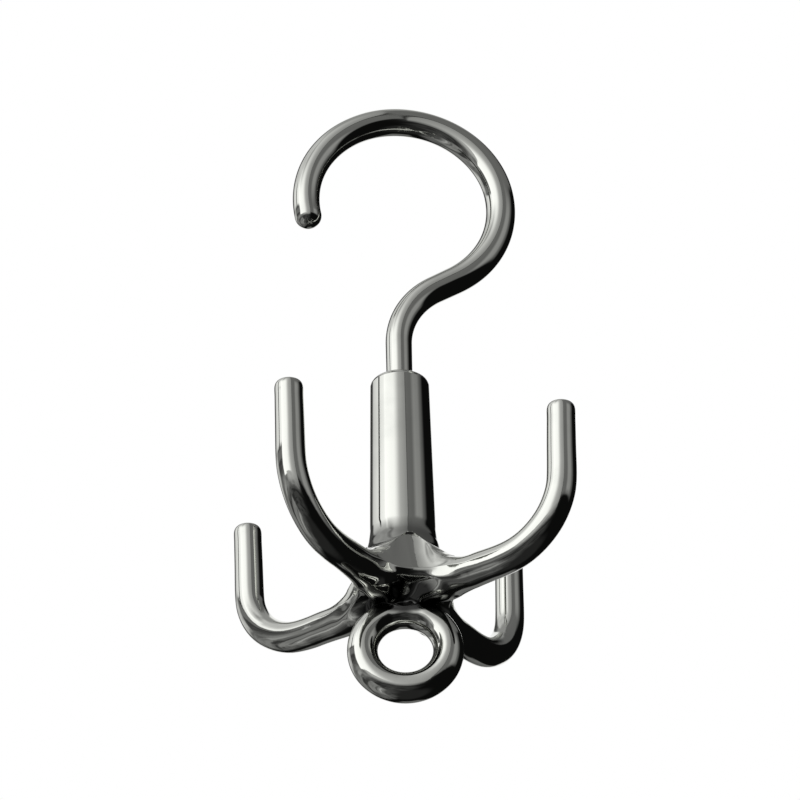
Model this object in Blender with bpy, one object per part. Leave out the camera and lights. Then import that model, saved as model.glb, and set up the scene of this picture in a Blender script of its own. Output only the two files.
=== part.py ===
"""Rotating wardrobe hook: a bent rail hook that turns in the sleeve of a four-claw casting.

The swivel axis is the Z axis. The origin is the underside of the rail hook's crown, on the
swivel axis, where the hook sits on a rail. The claws point up and the ring hangs below them.
Sizes are in millimetres here and become metres when the meshes are made.
"""

import math

import bmesh
import bpy
import numpy as np
from mathutils import Vector

MM = 0.001

# Fits
FIT_GAP = 0.3              # between faces that touch, slide or turn on each other

# Rail hook, one steel rod: neck, bend to the side, then a crook of three arcs
NECK_RADIUS = 3.2          # rod at the neck and in the sleeve
SIDE_RADIUS = 3.65         # rod at the far side of the crook
CROWN_RADIUS = 3.48        # rod over the rail
END_RADIUS = 3.35          # rod before its rounded end
END_LENGTH = 3.3           # length of the rounded end
NECK_LENGTH = 11.5         # straight rod above the sleeve
NECK_BEND_RADIUS = 20.4
NECK_BEND_ANGLE = 57.1
SLANT_LENGTH = 5.8         # straight rod between the neck bend and the crook
CROOK_SIDE_RADIUS = 27.1
CROOK_SIDE_ANGLE = 68.5
CROOK_CROWN_RADIUS = 23.7
CROOK_CROWN_ANGLE = 105.4
CROOK_END_RADIUS = 26.7
CROOK_END_ANGLE = 73.7

# Shank, the turned end of the rod inside the sleeve
TAIL_LENGTH = 12.0         # rod below the retaining ring's groove
TAIL_CHAMFER = 0.6
GROOVE_DEPTH = 0.9

# Sleeve of the claw casting
SLEEVE_TOP_RADIUS = 7.17
SLEEVE_FOOT_RADIUS = 8.0
SLEEVE_HEIGHT = 60.6       # from the claws' centre height to the sleeve's mouth
SLEEVE_EDGE = 1.0          # rounding of the mouth's outer edge
MOUTH_BORE_RADIUS = 5.0
BORE_BELOW_TAIL = 1.5      # depth left under the shank

# Hub: the sleeve's foot flares into the claws, with a hollow cut between each two of them
FOOT_HEIGHT = 12.4         # peak of the crease where a hollow cuts into the flare
CREASE_STAND = 0.08        # how far that peak stands off the sleeve
FLARE_FILLET = 1.5         # height of the fillet between the sleeve's wall and the flare
FLARE_FILLET_REACH = 0.3   # distance from the wall over which the fillet dies away
FLARE_POWER = 1.45         # how soon the flare sweeps down to the claws
HOLLOW_RADIUS = 10.0       # least radius of a hollow, seen from above
HOLLOW_SLANT = 0.65        # share of a hollow's run out to the lip that is even
LIP_RADIUS = 12.1          # web between two claws
LIP_THICKNESS = 1.2
HUB_REACH = 17.5           # where a claw becomes a plain round rod

# Claws
CLAW_COUNT = 4             # an even number, as the ring's root has two like sides
CLAW_REACH = 46.0          # axis to the centre of a tip
CLAW_RISE = 36.6           # height of a tip above the claws' centre height
CLAW_BEND_RADIUS = 17.4
CLAW_LEAN = 1.7            # outward lean of the upright, the casting's draft
CLAW_ROOT_RADIUS = 4.0
CLAW_TIP_RADIUS = 3.38
CLAW_TIP_EDGE = 1.3        # rounding of a tip's rim
CLAW_TAPER_POWER = 0.8     # below 1 a claw loses its girth sooner
CLAW_SEAT_WIDENING = 0.14  # how much wider a claw is where it leaves the hub

# Ring under the hub
RING_DROP = 14.7           # ring's centre below the claws' centre height
RING_RADIUS = 10.12        # to the middle of its bar
RING_BAR_RADIUS = 3.65
RING_BAR_HALF_DEPTH = 3.85
RING_TURN = -10.0          # degrees round the swivel axis, from the crook's plane
ROOT_SPAN = 32.0           # degrees of the ring, each way from its top, that the hub runs into
ROOT_FILLET = 0.7          # how far the root's corners are drawn out

# Mouth bush, thrust washer and retaining ring
BUSH_LENGTH = 12.0
BUSH_RECESS = 0.4          # bush below the sleeve's mouth
BUSH_CHAMFER = 0.5
WASHER_THICKNESS = 1.0
CLIP_THICKNESS = 0.9
CLIP_WIDTH = 1.9           # radial width of the ring's band
CLIP_OPENING = 70.0        # degrees left open, so that it springs over the shank

# Fineness of the round shapes
ROD_SIDES = 20
NECK_BEND_STEPS = 9
CROOK_STEPS = (11, 16, 12)
END_STEPS = 3
TURNED_STEPS = 32
HUB_COLUMNS = 6 * CLAW_COUNT
CLAW_SIDES = 12
CLAW_BEND_STEPS = 4
RING_SEGMENTS = 26
RING_SIDES = 8
ROOT_HALF_WIDTH = RING_SIDES // 4
ROOT_HALF_LENGTH = HUB_COLUMNS // 4 - ROOT_HALF_WIDTH
SETTLE_ROUNDS = 8

# Heights that follow from the sizes above, from the claws' centre height upwards
MOUTH_HEIGHT = SLEEVE_HEIGHT
BUSH_TOP = MOUTH_HEIGHT - BUSH_RECESS
BUSH_FOOT = BUSH_TOP - BUSH_LENGTH
WASHER_TOP = BUSH_FOOT - FIT_GAP
WASHER_FOOT = WASHER_TOP - WASHER_THICKNESS
CLIP_TOP = WASHER_FOOT - FIT_GAP
CLIP_FOOT = CLIP_TOP - CLIP_THICKNESS
GROOVE_TOP = CLIP_TOP + FIT_GAP
GROOVE_FOOT = CLIP_FOOT - FIT_GAP
TAIL_FOOT = GROOVE_FOOT - TAIL_LENGTH
MOUTH_BORE_FOOT = GROOVE_FOOT - FIT_GAP
PILOT_BORE_FOOT = TAIL_FOOT - BORE_BELOW_TAIL
NECK_TOP = MOUTH_HEIGHT + NECK_LENGTH


def arc_points(start, heading, radius, turn, steps):
    """Points of an arc after its start, with the heading at its end; turn is positive to the left."""
    side = math.copysign(1.0, turn)
    centre = start + side * radius * Vector((-math.sin(heading), math.cos(heading)))
    points = []
    for step in range(1, steps + 1):
        angle = heading + turn * step / steps
        points.append(centre + side * radius * Vector((math.sin(angle), -math.cos(angle))))
    return points, heading + turn


def rod_centreline():
    """Centre points of the rail hook's rod from the neck up, in its own plane (x, height)."""
    points = [Vector((0.0, NECK_TOP))]
    heading = math.pi / 2.0
    bend_turn = -math.radians(NECK_BEND_ANGLE)
    bend, heading = arc_points(points[-1], heading, NECK_BEND_RADIUS, bend_turn, NECK_BEND_STEPS)
    points += bend
    points.append(points[-1] + SLANT_LENGTH * Vector((math.cos(heading), math.sin(heading))))
    side_start = len(points) - 1
    crook = (
        (CROOK_SIDE_RADIUS, CROOK_SIDE_ANGLE),
        (CROOK_CROWN_RADIUS, CROOK_CROWN_ANGLE),
        (CROOK_END_RADIUS, CROOK_END_ANGLE),
    )
    for (radius, angle), steps in zip(crook, CROOK_STEPS):
        arc, heading = arc_points(points[-1], heading, radius, math.radians(angle), steps)
        points += arc
    return points, side_start, heading


def crown_seat_height():
    """Height of the crook's underside above the swivel axis, from the claws' centre height."""
    heading = math.pi / 2.0 - math.radians(NECK_BEND_ANGLE)
    side_sweep = math.radians(CROOK_SIDE_ANGLE)
    points, side_start, _ = rod_centreline()
    start = points[side_start]
    side_centre = start + CROOK_SIDE_RADIUS * Vector((-math.sin(heading), math.cos(heading)))
    meet = heading + side_sweep
    shift = (CROOK_CROWN_RADIUS - CROOK_SIDE_RADIUS) * Vector((-math.sin(meet), math.cos(meet)))
    crown_centre = side_centre + shift
    inner = CROOK_CROWN_RADIUS - CROWN_RADIUS
    return crown_centre.y + math.sqrt(inner ** 2 - crown_centre.x ** 2)


SEAT_HEIGHT = crown_seat_height()
CLAW_LEVEL = -SEAT_HEIGHT      # world height of the claws' centre


def clear_scene():
    """Remove every object that the new file opens with."""
    for item in list(bpy.data.objects):
        bpy.data.objects.remove(item, do_unlink=True)


def metal(name, colour, roughness):
    """A bare metal finish."""
    material = bpy.data.materials.new(name)
    material.use_nodes = True
    shader = material.node_tree.nodes["Principled BSDF"]
    shader.inputs["Base Color"].default_value = (*colour, 1.0)
    shader.inputs["Metallic"].default_value = 1.0
    shader.inputs["Roughness"].default_value = roughness
    material.diffuse_color = (*colour, 1.0)
    return material


def plastic(name, colour, roughness):
    """A moulded plastic finish."""
    material = bpy.data.materials.new(name)
    material.use_nodes = True
    shader = material.node_tree.nodes["Principled BSDF"]
    shader.inputs["Base Color"].default_value = (*colour, 1.0)
    shader.inputs["Roughness"].default_value = roughness
    material.diffuse_color = (*colour, 1.0)
    return material


def add_empty(name, height, parent=None):
    """An empty on the swivel axis, which holds the pieces of one body."""
    empty = bpy.data.objects.new(name, None)
    bpy.context.collection.objects.link(empty)
    empty.location = (0.0, 0.0, height * MM)
    empty.parent = parent
    return empty


def add_object(name, mesh, material, parent):
    """Link a mesh as a named piece under its body's empty, shaded smooth."""
    mesh.materials.append(material)
    item = bpy.data.objects.new(name, mesh)
    bpy.context.collection.objects.link(item)
    item.parent = parent
    mesh.shade_smooth()
    mesh.set_sharp_from_angle(angle=math.radians(40.0))
    return item


def finish_bmesh(name, bm):
    """Scale a drawing in millimetres to metres and turn it into a mesh."""
    bmesh.ops.scale(bm, vec=(MM, MM, MM), verts=bm.verts)
    bmesh.ops.recalc_face_normals(bm, faces=bm.faces)
    mesh = bpy.data.meshes.new(name)
    bm.to_mesh(mesh)
    bm.free()
    return mesh


def skin(bm, rings, close_start=True, close_end=True):
    """Join rings of the same number of vertices into a tube, with flat faces at its ends."""
    sides = len(rings[0])
    for lower, upper in zip(rings, rings[1:]):
        for side in range(sides):
            after = (side + 1) % sides
            bm.faces.new((lower[side], lower[after], upper[after], upper[side]))
    if close_start:
        bm.faces.new(list(reversed(rings[0])))
    if close_end:
        bm.faces.new(rings[-1])


def turned(name, profile, material, parent, height):
    """A turned piece: a closed profile of (radius, height), outer side first and downwards."""
    bm = bmesh.new()
    corners = [bm.verts.new((radius * MM, 0.0, rise * MM)) for radius, rise in profile]
    for start, end in zip(corners, corners[1:] + corners[:1]):
        bm.edges.new((start, end))
    mesh = bpy.data.meshes.new(name)
    bm.to_mesh(mesh)
    bm.free()
    item = add_object(name, mesh, material, parent)
    item.location.z = height * MM
    screw = item.modifiers.new("turn", "SCREW")
    screw.axis = "Z"
    screw.angle = 2.0 * math.pi
    screw.steps = TURNED_STEPS
    screw.render_steps = TURNED_STEPS
    screw.use_merge_vertices = True
    screw.merge_threshold = 0.00001
    screw.use_smooth_shade = True
    return item


def rod_radius_along(fractions, side, crown):
    """Rod radius at each share of the rod's length, between the neck, side, crown and end."""
    stops = ((0.0, NECK_RADIUS), (side, SIDE_RADIUS), (crown, CROWN_RADIUS), (1.0, END_RADIUS))
    radii = []
    for share in fractions:
        for (low, start), (high, end) in zip(stops, stops[1:]):
            if share <= high or high == 1.0:
                blend = (share - low) / (high - low)
                blend = blend * blend * (3.0 - 2.0 * blend)
                radii.append(start + (end - start) * blend)
                break
    return radii


def build_rail_hook(material, parent):
    """The bent rod: turned shank, neck, side bend, crook and rounded end, as one loft."""
    stations = [
        (TAIL_FOOT, NECK_RADIUS - TAIL_CHAMFER),
        (TAIL_FOOT + TAIL_CHAMFER, NECK_RADIUS),
        (GROOVE_FOOT, NECK_RADIUS),
        (GROOVE_FOOT, NECK_RADIUS - GROOVE_DEPTH),
        (GROOVE_TOP, NECK_RADIUS - GROOVE_DEPTH),
        (GROOVE_TOP, NECK_RADIUS),
        (MOUTH_HEIGHT, NECK_RADIUS),
    ]
    up = Vector((0.0, 1.0))
    frames = [(Vector((0.0, height)), up, radius) for height, radius in stations]

    points, _, end_heading = rod_centreline()
    lengths = [0.0]
    for start, end in zip(points, points[1:]):
        lengths.append(lengths[-1] + (end - start).length)
    total = lengths[-1]
    side_index = max(range(len(points)), key=lambda index: points[index].x)
    crown_index = max(range(len(points)), key=lambda index: points[index].y)
    shares = [length / total for length in lengths]
    radii = rod_radius_along(shares, shares[side_index], shares[crown_index])
    frames.append((points[0], up, radii[0]))
    for before, point, after, radius in zip(points, points[1:], points[2:], radii[1:]):
        frames.append((point, (after - before).normalized(), radius))

    heading = Vector((math.cos(end_heading), math.sin(end_heading)))
    for step in range(END_STEPS + 1):
        turn = 0.8 * (math.pi / 2.0) * step / END_STEPS
        centre = points[-1] + heading * END_LENGTH * math.sin(turn) / math.sin(0.8 * math.pi / 2.0)
        frames.append((centre, heading, END_RADIUS * math.cos(turn)))

    bm = bmesh.new()
    rings = []
    for centre, direction, radius in frames:
        normal = Vector((direction.y, -direction.x))
        ring = []
        for side in range(ROD_SIDES):
            angle = 2.0 * math.pi * side / ROD_SIDES
            across = radius * math.cos(angle)
            place = centre + normal * across
            ring.append(bm.verts.new((place.x, radius * math.sin(angle), place.y)))
        rings.append(ring)
    skin(bm, rings)
    return add_object("rail_hook", finish_bmesh("rail_hook", bm), material, parent)


def web_radius(height):
    """Radius of a hollow's middle: its run out to the lip is part even, part ever faster."""
    top = SLEEVE_FOOT_RADIUS + CREASE_STAND
    fall = (FOOT_HEIGHT - height) / (FOOT_HEIGHT - 0.5 * LIP_THICKNESS)
    return top + (LIP_RADIUS - top) * (HOLLOW_SLANT * fall + (1.0 - HOLLOW_SLANT) * fall ** 2)


def flare_height(radius):
    """Height of the skin that sweeps from the sleeve's foot out along the top of a claw."""
    out = radius - SLEEVE_FOOT_RADIUS
    left = max(1.0 - out / (HUB_REACH - SLEEVE_FOOT_RADIUS), 0.0)
    fillet = FLARE_FILLET * math.exp(-out / FLARE_FILLET_REACH)
    return CLAW_ROOT_RADIUS + (FOOT_HEIGHT - CLAW_ROOT_RADIUS) * left ** FLARE_POWER + fillet


def hollow_place(height, turn):
    """A place (radius, angle from the web, height) on a hollow, by degrees along its arc.

    Seen from above a hollow is an arc that touches the claws on both sides of it, or, where they
    are too close for that, an arc of its least radius.
    """
    near = web_radius(height)
    slope = math.sin(math.pi / CLAW_COUNT)
    between = (near * slope - 1.1 * CLAW_ROOT_RADIUS) / (1.0 - slope)
    radius = max(between, HOLLOW_RADIUS)
    x = near + radius * (1.0 - math.cos(math.radians(turn)))
    y = radius * math.sin(math.radians(turn))
    return math.hypot(x, y), math.atan2(y, x), height


def beside_claw(out, side, height):
    """A place (radius, angle from the web, height) on a claw's flank.

    out is the share of the way from the sleeve's foot to where the claw becomes a plain rod; side
    and height are shares of the claw's root radius, from the claw's own centre line.
    """
    reach = along_claw(out)
    side *= CLAW_ROOT_RADIUS
    turn = math.pi / CLAW_COUNT - math.atan2(side, reach)
    return math.hypot(reach, side), turn, height * CLAW_ROOT_RADIUS


def along_claw(out):
    """Radius at a share of the way from the sleeve's foot to where a claw is a plain rod."""
    return SLEEVE_FOOT_RADIUS + out * (HUB_REACH - SLEEVE_FOOT_RADIUS)


def hub_row(web, flank, edge, claw):
    """A row of points round the hub, mirrored on each claw and web and repeated for each claw.

    web and claw are (radius, height); flank and edge are (radius, angle from the web, height).
    """
    pitch = 2.0 * math.pi / CLAW_COUNT
    places = [
        (web[0], 0.0, web[1]),
        flank,
        edge,
        (claw[0], 0.5 * pitch, claw[1]),
        (edge[0], pitch - edge[1], edge[2]),
        (flank[0], pitch - flank[1], flank[2]),
    ]
    row = []
    for claw_index in range(CLAW_COUNT):
        for radius, turn, height in places:
            angle = turn + claw_index * pitch
            row.append((radius * math.cos(angle), radius * math.sin(angle), height))
    return row


def sleeve_rows():
    """Rows of the sleeve, from its mouth down to just above its foot."""
    fall = (SLEEVE_TOP_RADIUS - SLEEVE_FOOT_RADIUS) / (SLEEVE_HEIGHT - FOOT_HEIGHT)

    def wall(height):
        return SLEEVE_FOOT_RADIUS + fall * (height - FOOT_HEIGHT), height

    top, edge = SLEEVE_HEIGHT, SLEEVE_EDGE
    outer = SLEEVE_TOP_RADIUS
    corner = (1.0 - math.sqrt(0.5)) * edge
    middle = 0.5 * (top + FOOT_HEIGHT)
    places = [
        (outer - 2.0 * edge, top),
        (outer - edge, top),
        (outer - corner, top - corner),
        wall(top - edge),
        wall(top - 2.5 * edge),
        wall(middle),
        wall(FOOT_HEIGHT + 2.0 * FLARE_FILLET),
    ]
    pitch = math.pi / CLAW_COUNT
    return [
        hub_row(place, (place[0], 0.28 * pitch, place[1]), (place[0], 0.6 * pitch, place[1]), place)
        for place in places
    ]


def flare_rows():
    """Rows of the sleeve's flared foot, which end at the crease above the hollows."""
    pitch = math.pi / CLAW_COUNT
    foot = SLEEVE_FOOT_RADIUS
    near, far = foot + 1.1 * CREASE_STAND, foot + 2.5 * CREASE_STAND
    rise = FOOT_HEIGHT + 0.35 * FLARE_FILLET
    rows = [hub_row(
        (foot + 0.75 * CREASE_STAND, FOOT_HEIGHT + 0.47 * FLARE_FILLET),
        (near, 0.28 * pitch, FOOT_HEIGHT + 0.41 * FLARE_FILLET),
        (far, 0.6 * pitch, rise),
        (far, rise),
    )]
    # The web's share of the fillet's height, the flank's share out and across, the edge's and
    # the claw's shares out
    sweep = (
        (0.19, 0.040, 0.31, 0.095, 0.105),
        (0.04, 0.088, 0.37, 0.263, 0.295),
        (-0.07, 0.135, 0.41, 0.442, 0.505),
    )
    for web, flank_out, flank_turn, edge_out, claw_out in sweep:
        flank, edge, claw = (along_claw(out) for out in (flank_out, edge_out, claw_out))
        rows.append(hub_row(
            (foot + CREASE_STAND, FOOT_HEIGHT + web * FLARE_FILLET),
            (flank, flank_turn * pitch, flare_height(flank)),
            (edge, 0.6 * pitch, flare_height(edge)),
            (claw, flare_height(claw)),
        ))
    return rows


def hollow_rows():
    """Rows of the hollows between the claws, from the crease down to the lip."""
    # Shares of the crease's height for web and flank, the flank's degrees along the hollow, the
    # edge beside its claw, and the claw's share out
    fall = (
        (0.972, 0.835, 18.3, (0.411, 1.040, 1.71), 0.621),
        (0.911, 0.774, 18.8, (0.442, 1.090, 1.55), 0.684),
        (0.758, 0.637, 19.5, (0.495, 1.125, 1.35), 0.747),
        (0.516, 0.435, 20.0, (0.558, 1.125, 1.15), 0.800),
        (0.242, 0.218, 19.0, (0.642, 1.090, 0.94), 0.853),
    )
    rows = []
    for web, flank, turn, edge, out in fall:
        claw = along_claw(out)
        rows.append(hub_row(
            (web_radius(web * FOOT_HEIGHT), web * FOOT_HEIGHT),
            hollow_place(flank * FOOT_HEIGHT, turn),
            beside_claw(*edge),
            (claw, flare_height(claw)),
        ))
    return rows


def lip_rows():
    """Rows of the rounded lip between two claws and of the underside behind it.

    The first three have no point on a claw's middle: there the claw grows out of the hub.
    """
    nothing = (math.nan, math.nan)
    side, turn, _ = hollow_place(0.5 * LIP_THICKNESS, 16.0)
    # Shares of the lip's thickness that a row lies inside its rim and above its middle, on the
    # web and on the flank, then the edge beside its claw, and the claw's share out and height
    rim = (
        (0.15, 0.85, 0.85, (0.705, 1.190, 0.40), None),
        (0.00, 0.46, 0.46, (0.705, 1.240, 0.20), None),
        (0.33, -0.25, -0.25, (0.695, 1.200, -0.20), None),
        (0.83, -0.67, -0.75, (0.663, 1.075, -0.60), (0.768, -0.970)),
        (1.75, -0.92, -1.13, (0.547, 0.950, -0.75), (0.589, -0.975)),
        (3.00, -1.21, -1.58, (0.379, 0.775, -0.90), (0.379, -1.010)),
    )
    rows = []
    for inside, web, flank, edge, claw in rim:
        inset = inside * LIP_THICKNESS
        under = nothing if claw is None else (along_claw(claw[0]), claw[1] * CLAW_ROOT_RADIUS)
        rows.append(hub_row(
            (LIP_RADIUS - inset, web * LIP_THICKNESS),
            (side - 0.95 * inset, turn, flank * LIP_THICKNESS),
            beside_claw(*edge),
            under,
        ))
    return rows


def ring_angle(step):
    """Angle along the ring from its top, with close steps where it grows out of the hub."""
    half = RING_SEGMENTS // 2
    if step > half:
        return -ring_angle(RING_SEGMENTS - step)
    span = math.radians(ROOT_SPAN)
    if step <= ROOT_HALF_LENGTH:
        return span * step / ROOT_HALF_LENGTH
    return span + (math.pi - span) * (step - ROOT_HALF_LENGTH) / (half - ROOT_HALF_LENGTH)


def ring_grid():
    """Points of the ring: steps along it from its top, sides round its oval bar."""
    turn = np.array([ring_angle(step) for step in range(RING_SEGMENTS)])[:, None]
    roll = 2.0 * math.pi * np.arange(RING_SIDES)[None, :] / RING_SIDES
    out = RING_RADIUS + RING_BAR_RADIUS * np.cos(roll)
    across = out * np.sin(turn)
    depth = RING_BAR_HALF_DEPTH * np.sin(roll)
    spin = math.radians(RING_TURN)
    x = across * math.cos(spin) - depth * math.sin(spin)
    y = across * math.sin(spin) + depth * math.cos(spin)
    return np.stack([x, y, out * np.cos(turn) - RING_DROP], axis=-1)


def ring_root_steps():
    """Steps along and round the ring of the loop that the hub's underside joins, by column."""
    half = HUB_COLUMNS // 2
    place = (np.arange(HUB_COLUMNS) + half) % HUB_COLUMNS - half
    away = np.abs(place)
    along = np.clip(half // 2 - away, -ROOT_HALF_LENGTH, ROOT_HALF_LENGTH)
    beside = np.sign(place) * np.minimum(np.minimum(away, half - away), ROOT_HALF_WIDTH)
    return along, beside


def claw_sections():
    """Rows (reach, height, heading, radius, widening) of a claw, from the hub to its flat tip."""
    end = math.radians(90.0 - CLAW_LEAN)
    bend_rise = CLAW_BEND_RADIUS * (1.0 - math.cos(end))
    lean_out = (CLAW_RISE - bend_rise) / math.tan(end)
    bend_start = CLAW_REACH - CLAW_BEND_RADIUS * math.sin(end) - lean_out
    places = [(HUB_REACH, 0.0, 0.0), (0.5 * (HUB_REACH + bend_start), 0.0, 0.0)]
    for step in range(CLAW_BEND_STEPS + 1):
        angle = end * step / CLAW_BEND_STEPS
        reach = bend_start + CLAW_BEND_RADIUS * math.sin(angle)
        places.append((reach, CLAW_BEND_RADIUS * (1.0 - math.cos(angle)), angle))
    length = (CLAW_RISE - places[-1][1]) / math.sin(end)
    corner = (1.0 - math.sqrt(0.5)) * CLAW_TIP_EDGE
    below = [0.5 * length, 2.3 * CLAW_TIP_EDGE, CLAW_TIP_EDGE, corner, 0.0]
    for back in below:
        places.append((CLAW_REACH - back * math.cos(end), CLAW_RISE - back * math.sin(end), end))
    inset = [0.0] * (len(places) - 2) + [corner, CLAW_TIP_EDGE]
    widening = [1.0 + CLAW_SEAT_WIDENING, 1.0 + 0.2 * CLAW_SEAT_WIDENING] + [1.0] * (len(places) - 2)

    steps = [math.hypot(b[0] - a[0], b[1] - a[1]) for a, b in zip(places, places[1:])]
    rows = []
    for index, (reach, height, heading) in enumerate(places):
        share = (sum(steps[:index]) / sum(steps)) ** CLAW_TAPER_POWER
        radius = CLAW_ROOT_RADIUS + (CLAW_TIP_RADIUS - CLAW_ROOT_RADIUS) * share - inset[index]
        rows.append((reach, height, heading, radius, widening[index]))
    return rows


def claw_grid(azimuth):
    """Points of one claw: circles across its line, each starting one side before its top."""
    outward = np.array((math.cos(azimuth), math.sin(azimuth), 0.0))
    sideways = np.array((-math.sin(azimuth), math.cos(azimuth), 0.0))
    upward = np.array((0.0, 0.0, 1.0))
    roll = math.pi / 2.0 + 2.0 * math.pi * (1.0 - np.arange(CLAW_SIDES)[:, None]) / CLAW_SIDES
    rings = []
    for reach, height, heading, radius, widening in claw_sections():
        normal = math.cos(heading) * upward - math.sin(heading) * outward
        centre = reach * outward + height * upward
        across = radius * widening * np.cos(roll) * sideways
        rings.append(centre + across + radius * np.sin(roll) * normal)
    return np.array(rings)


def strip_quads(rows, around=True):
    """Quads between rows of vertex numbers, joined from last column to first or left open."""
    after = np.roll(rows, -1, axis=1)
    if not around:
        rows, after = rows[:, :-1], after[:, :-1]
    return np.stack([rows[:-1], after[:-1], after[1:], rows[1:]], axis=-1).reshape(-1, 4)


def lid_quads(ring):
    """Quads in strips across a ring of an even number of vertices, which close it."""
    count = len(ring)
    step = np.arange(count // 2 - 1)
    return ring[np.stack([step, step + 1, count - 2 - step, count - 1 - step], axis=-1)]


def open_ring_quads(ids):
    """The ring's quads, less those inside the loop where it grows out of the hub."""
    closed = np.hstack([ids, ids[:, :1]])
    closed = np.vstack([closed, closed[:1]])
    quads = strip_quads(closed, around=False).reshape(RING_SEGMENTS, RING_SIDES, 4)
    near_top = (np.arange(RING_SEGMENTS) + ROOT_HALF_LENGTH) % RING_SEGMENTS < 2 * ROOT_HALF_LENGTH
    outward = (np.arange(RING_SIDES) + ROOT_HALF_WIDTH) % RING_SIDES < 2 * ROOT_HALF_WIDTH
    return quads[~(near_top[:, None] & outward[None, :])]


def claw_mouth(rows, column):
    """Vertices round a claw's opening in the hub, in the order of the claw's own sides."""
    before, after = column - 1, column + 1
    top, upper, middle, lower, low = rows
    return np.array([
        top[before], top[column], top[after], upper[after], middle[after], lower[after],
        low[after], low[column], low[before], lower[before], middle[before], upper[before],
    ])


def number(count, grid):
    """Vertex numbers for a grid of points, the first of them count."""
    return count + np.arange(grid.shape[0] * grid.shape[1]).reshape(grid.shape[:2])


def casting_cage():
    """The whole casting as points drawn on its skin and the quads between them."""
    ring = ring_grid()
    ring_ids = number(0, ring)
    hub = np.array(sleeve_rows() + flare_rows() + hollow_rows() + lip_rows())
    hub_ids = number(ring_ids.size, hub)

    along, beside = ring_root_steps()
    loop = along % RING_SEGMENTS, beside % RING_SIDES
    rim = hub[-1]
    outward = rim * (1.0, 1.0, 0.0) / np.linalg.norm(rim[:, :2], axis=1, keepdims=True)
    corner = (np.abs(along) == ROOT_HALF_LENGTH) & (np.abs(beside) == ROOT_HALF_WIDTH)
    ring[loop] += corner[:, None] * ROOT_FILLET * (outward + (0.0, 0.0, 1.0))
    seat = ring[loop]
    # Two rows lead from the rim to the ring, level at first and then steeper
    share = np.array([0.45, 0.78])[:, None, None]
    under = rim + share * (seat - rim)
    under[..., 2] = rim[:, 2] + share[..., 0] ** 1.8 * (seat[:, 2] - rim[:, 2])
    under_ids = number(hub_ids.max() + 1, under)

    skin = strip_quads(np.vstack([hub_ids, under_ids, ring_ids[loop]]))
    opening = np.isnan(hub[..., 0])
    skin = skin[~np.isin(skin, hub_ids[opening]).any(axis=1)]
    parts = [ring, hub, under]
    quads = [open_ring_quads(ring_ids), skin, lid_quads(hub_ids[0])]

    claw_columns = np.flatnonzero(opening.any(axis=0))
    first = int(np.argmax(opening.any(axis=1))) - 1
    for column in claw_columns:
        claw = claw_grid(2.0 * math.pi * column / HUB_COLUMNS)
        claw_ids = number(sum(part.size // 3 for part in parts), claw)
        mouth = claw_mouth(hub_ids[first:first + 5], column)
        parts.append(claw)
        quads += [strip_quads(np.vstack([mouth, claw_ids])), lid_quads(claw_ids[-1])]
    points, faces = np.vstack([part.reshape(-1, 3) for part in parts]), np.vstack(quads)
    kept, faces = np.unique(faces, return_inverse=True)
    return points[kept], faces.reshape(-1, 4)


def settled(drawn, quads):
    """Control points whose subdivided surface passes through the drawn points.

    A control point P with n quads round it ends up at (n n P + 4 sum of its edge neighbours + sum
    of its opposite corners) / (n (n + 5)). Each round moves it by what its end still misses.
    """
    control = drawn.copy()
    count = np.bincount(quads.ravel())[:, None].astype(float)
    for _ in range(SETTLE_ROUNDS):
        total = np.zeros_like(control)
        for turn in range(4):
            corner, after, across, before = np.roll(quads, -turn, axis=1).T
            np.add.at(total, corner, 2.0 * (control[after] + control[before]) + control[across])
        control += drawn - (count * count * control + total) / (count * (count + 5.0))
    return control


def build_bore_cutter(parent):
    """The stepped blind bore: wide for the bush, washer and ring, narrow for the shank's tail."""
    pilot = NECK_RADIUS + FIT_GAP
    over = MOUTH_HEIGHT + 2.0 * SLEEVE_EDGE
    profile = [
        (0.0, over),
        (MOUTH_BORE_RADIUS, over),
        (MOUTH_BORE_RADIUS, MOUTH_BORE_FOOT),
        (pilot, MOUTH_BORE_FOOT - (MOUTH_BORE_RADIUS - pilot)),
        (pilot, PILOT_BORE_FOOT),
        (0.0, PILOT_BORE_FOOT - 0.5 * pilot),
    ]
    bm = bmesh.new()
    corners = [bm.verts.new((radius, 0.0, height)) for radius, height in profile]
    edges = [bm.edges.new(pair) for pair in zip(corners, corners[1:])]
    bmesh.ops.spin(bm, geom=corners + edges, cent=(0.0, 0.0, 0.0), axis=(0.0, 0.0, 1.0),
                   angle=2.0 * math.pi, steps=TURNED_STEPS, use_merge=True)
    bmesh.ops.remove_doubles(bm, verts=bm.verts, dist=0.01)
    mesh = finish_bmesh("bore_cutter", bm)
    cutter = bpy.data.objects.new("bore_cutter", mesh)
    bpy.context.collection.objects.link(cutter)
    cutter.parent = parent
    cutter.hide_render = True
    cutter.display_type = "WIRE"
    return cutter


def build_claw_body(material, parent):
    """The casting: sleeve, hub, four claws and ring from one subdivided cage, then bored."""
    drawn, quads = casting_cage()
    control = settled(drawn, quads)
    bm = bmesh.new()
    verts = [bm.verts.new(point) for point in control]
    for quad in quads:
        bm.faces.new([verts[corner] for corner in quad])
    body = add_object("claw_body", finish_bmesh("claw_body", bm), material, parent)
    smooth = body.modifiers.new("casting", "SUBSURF")
    smooth.levels = 1
    smooth.render_levels = 1
    bore = body.modifiers.new("bore", "BOOLEAN")
    bore.operation = "DIFFERENCE"
    bore.solver = "EXACT"
    bore.object = build_bore_cutter(parent)
    return body


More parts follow.
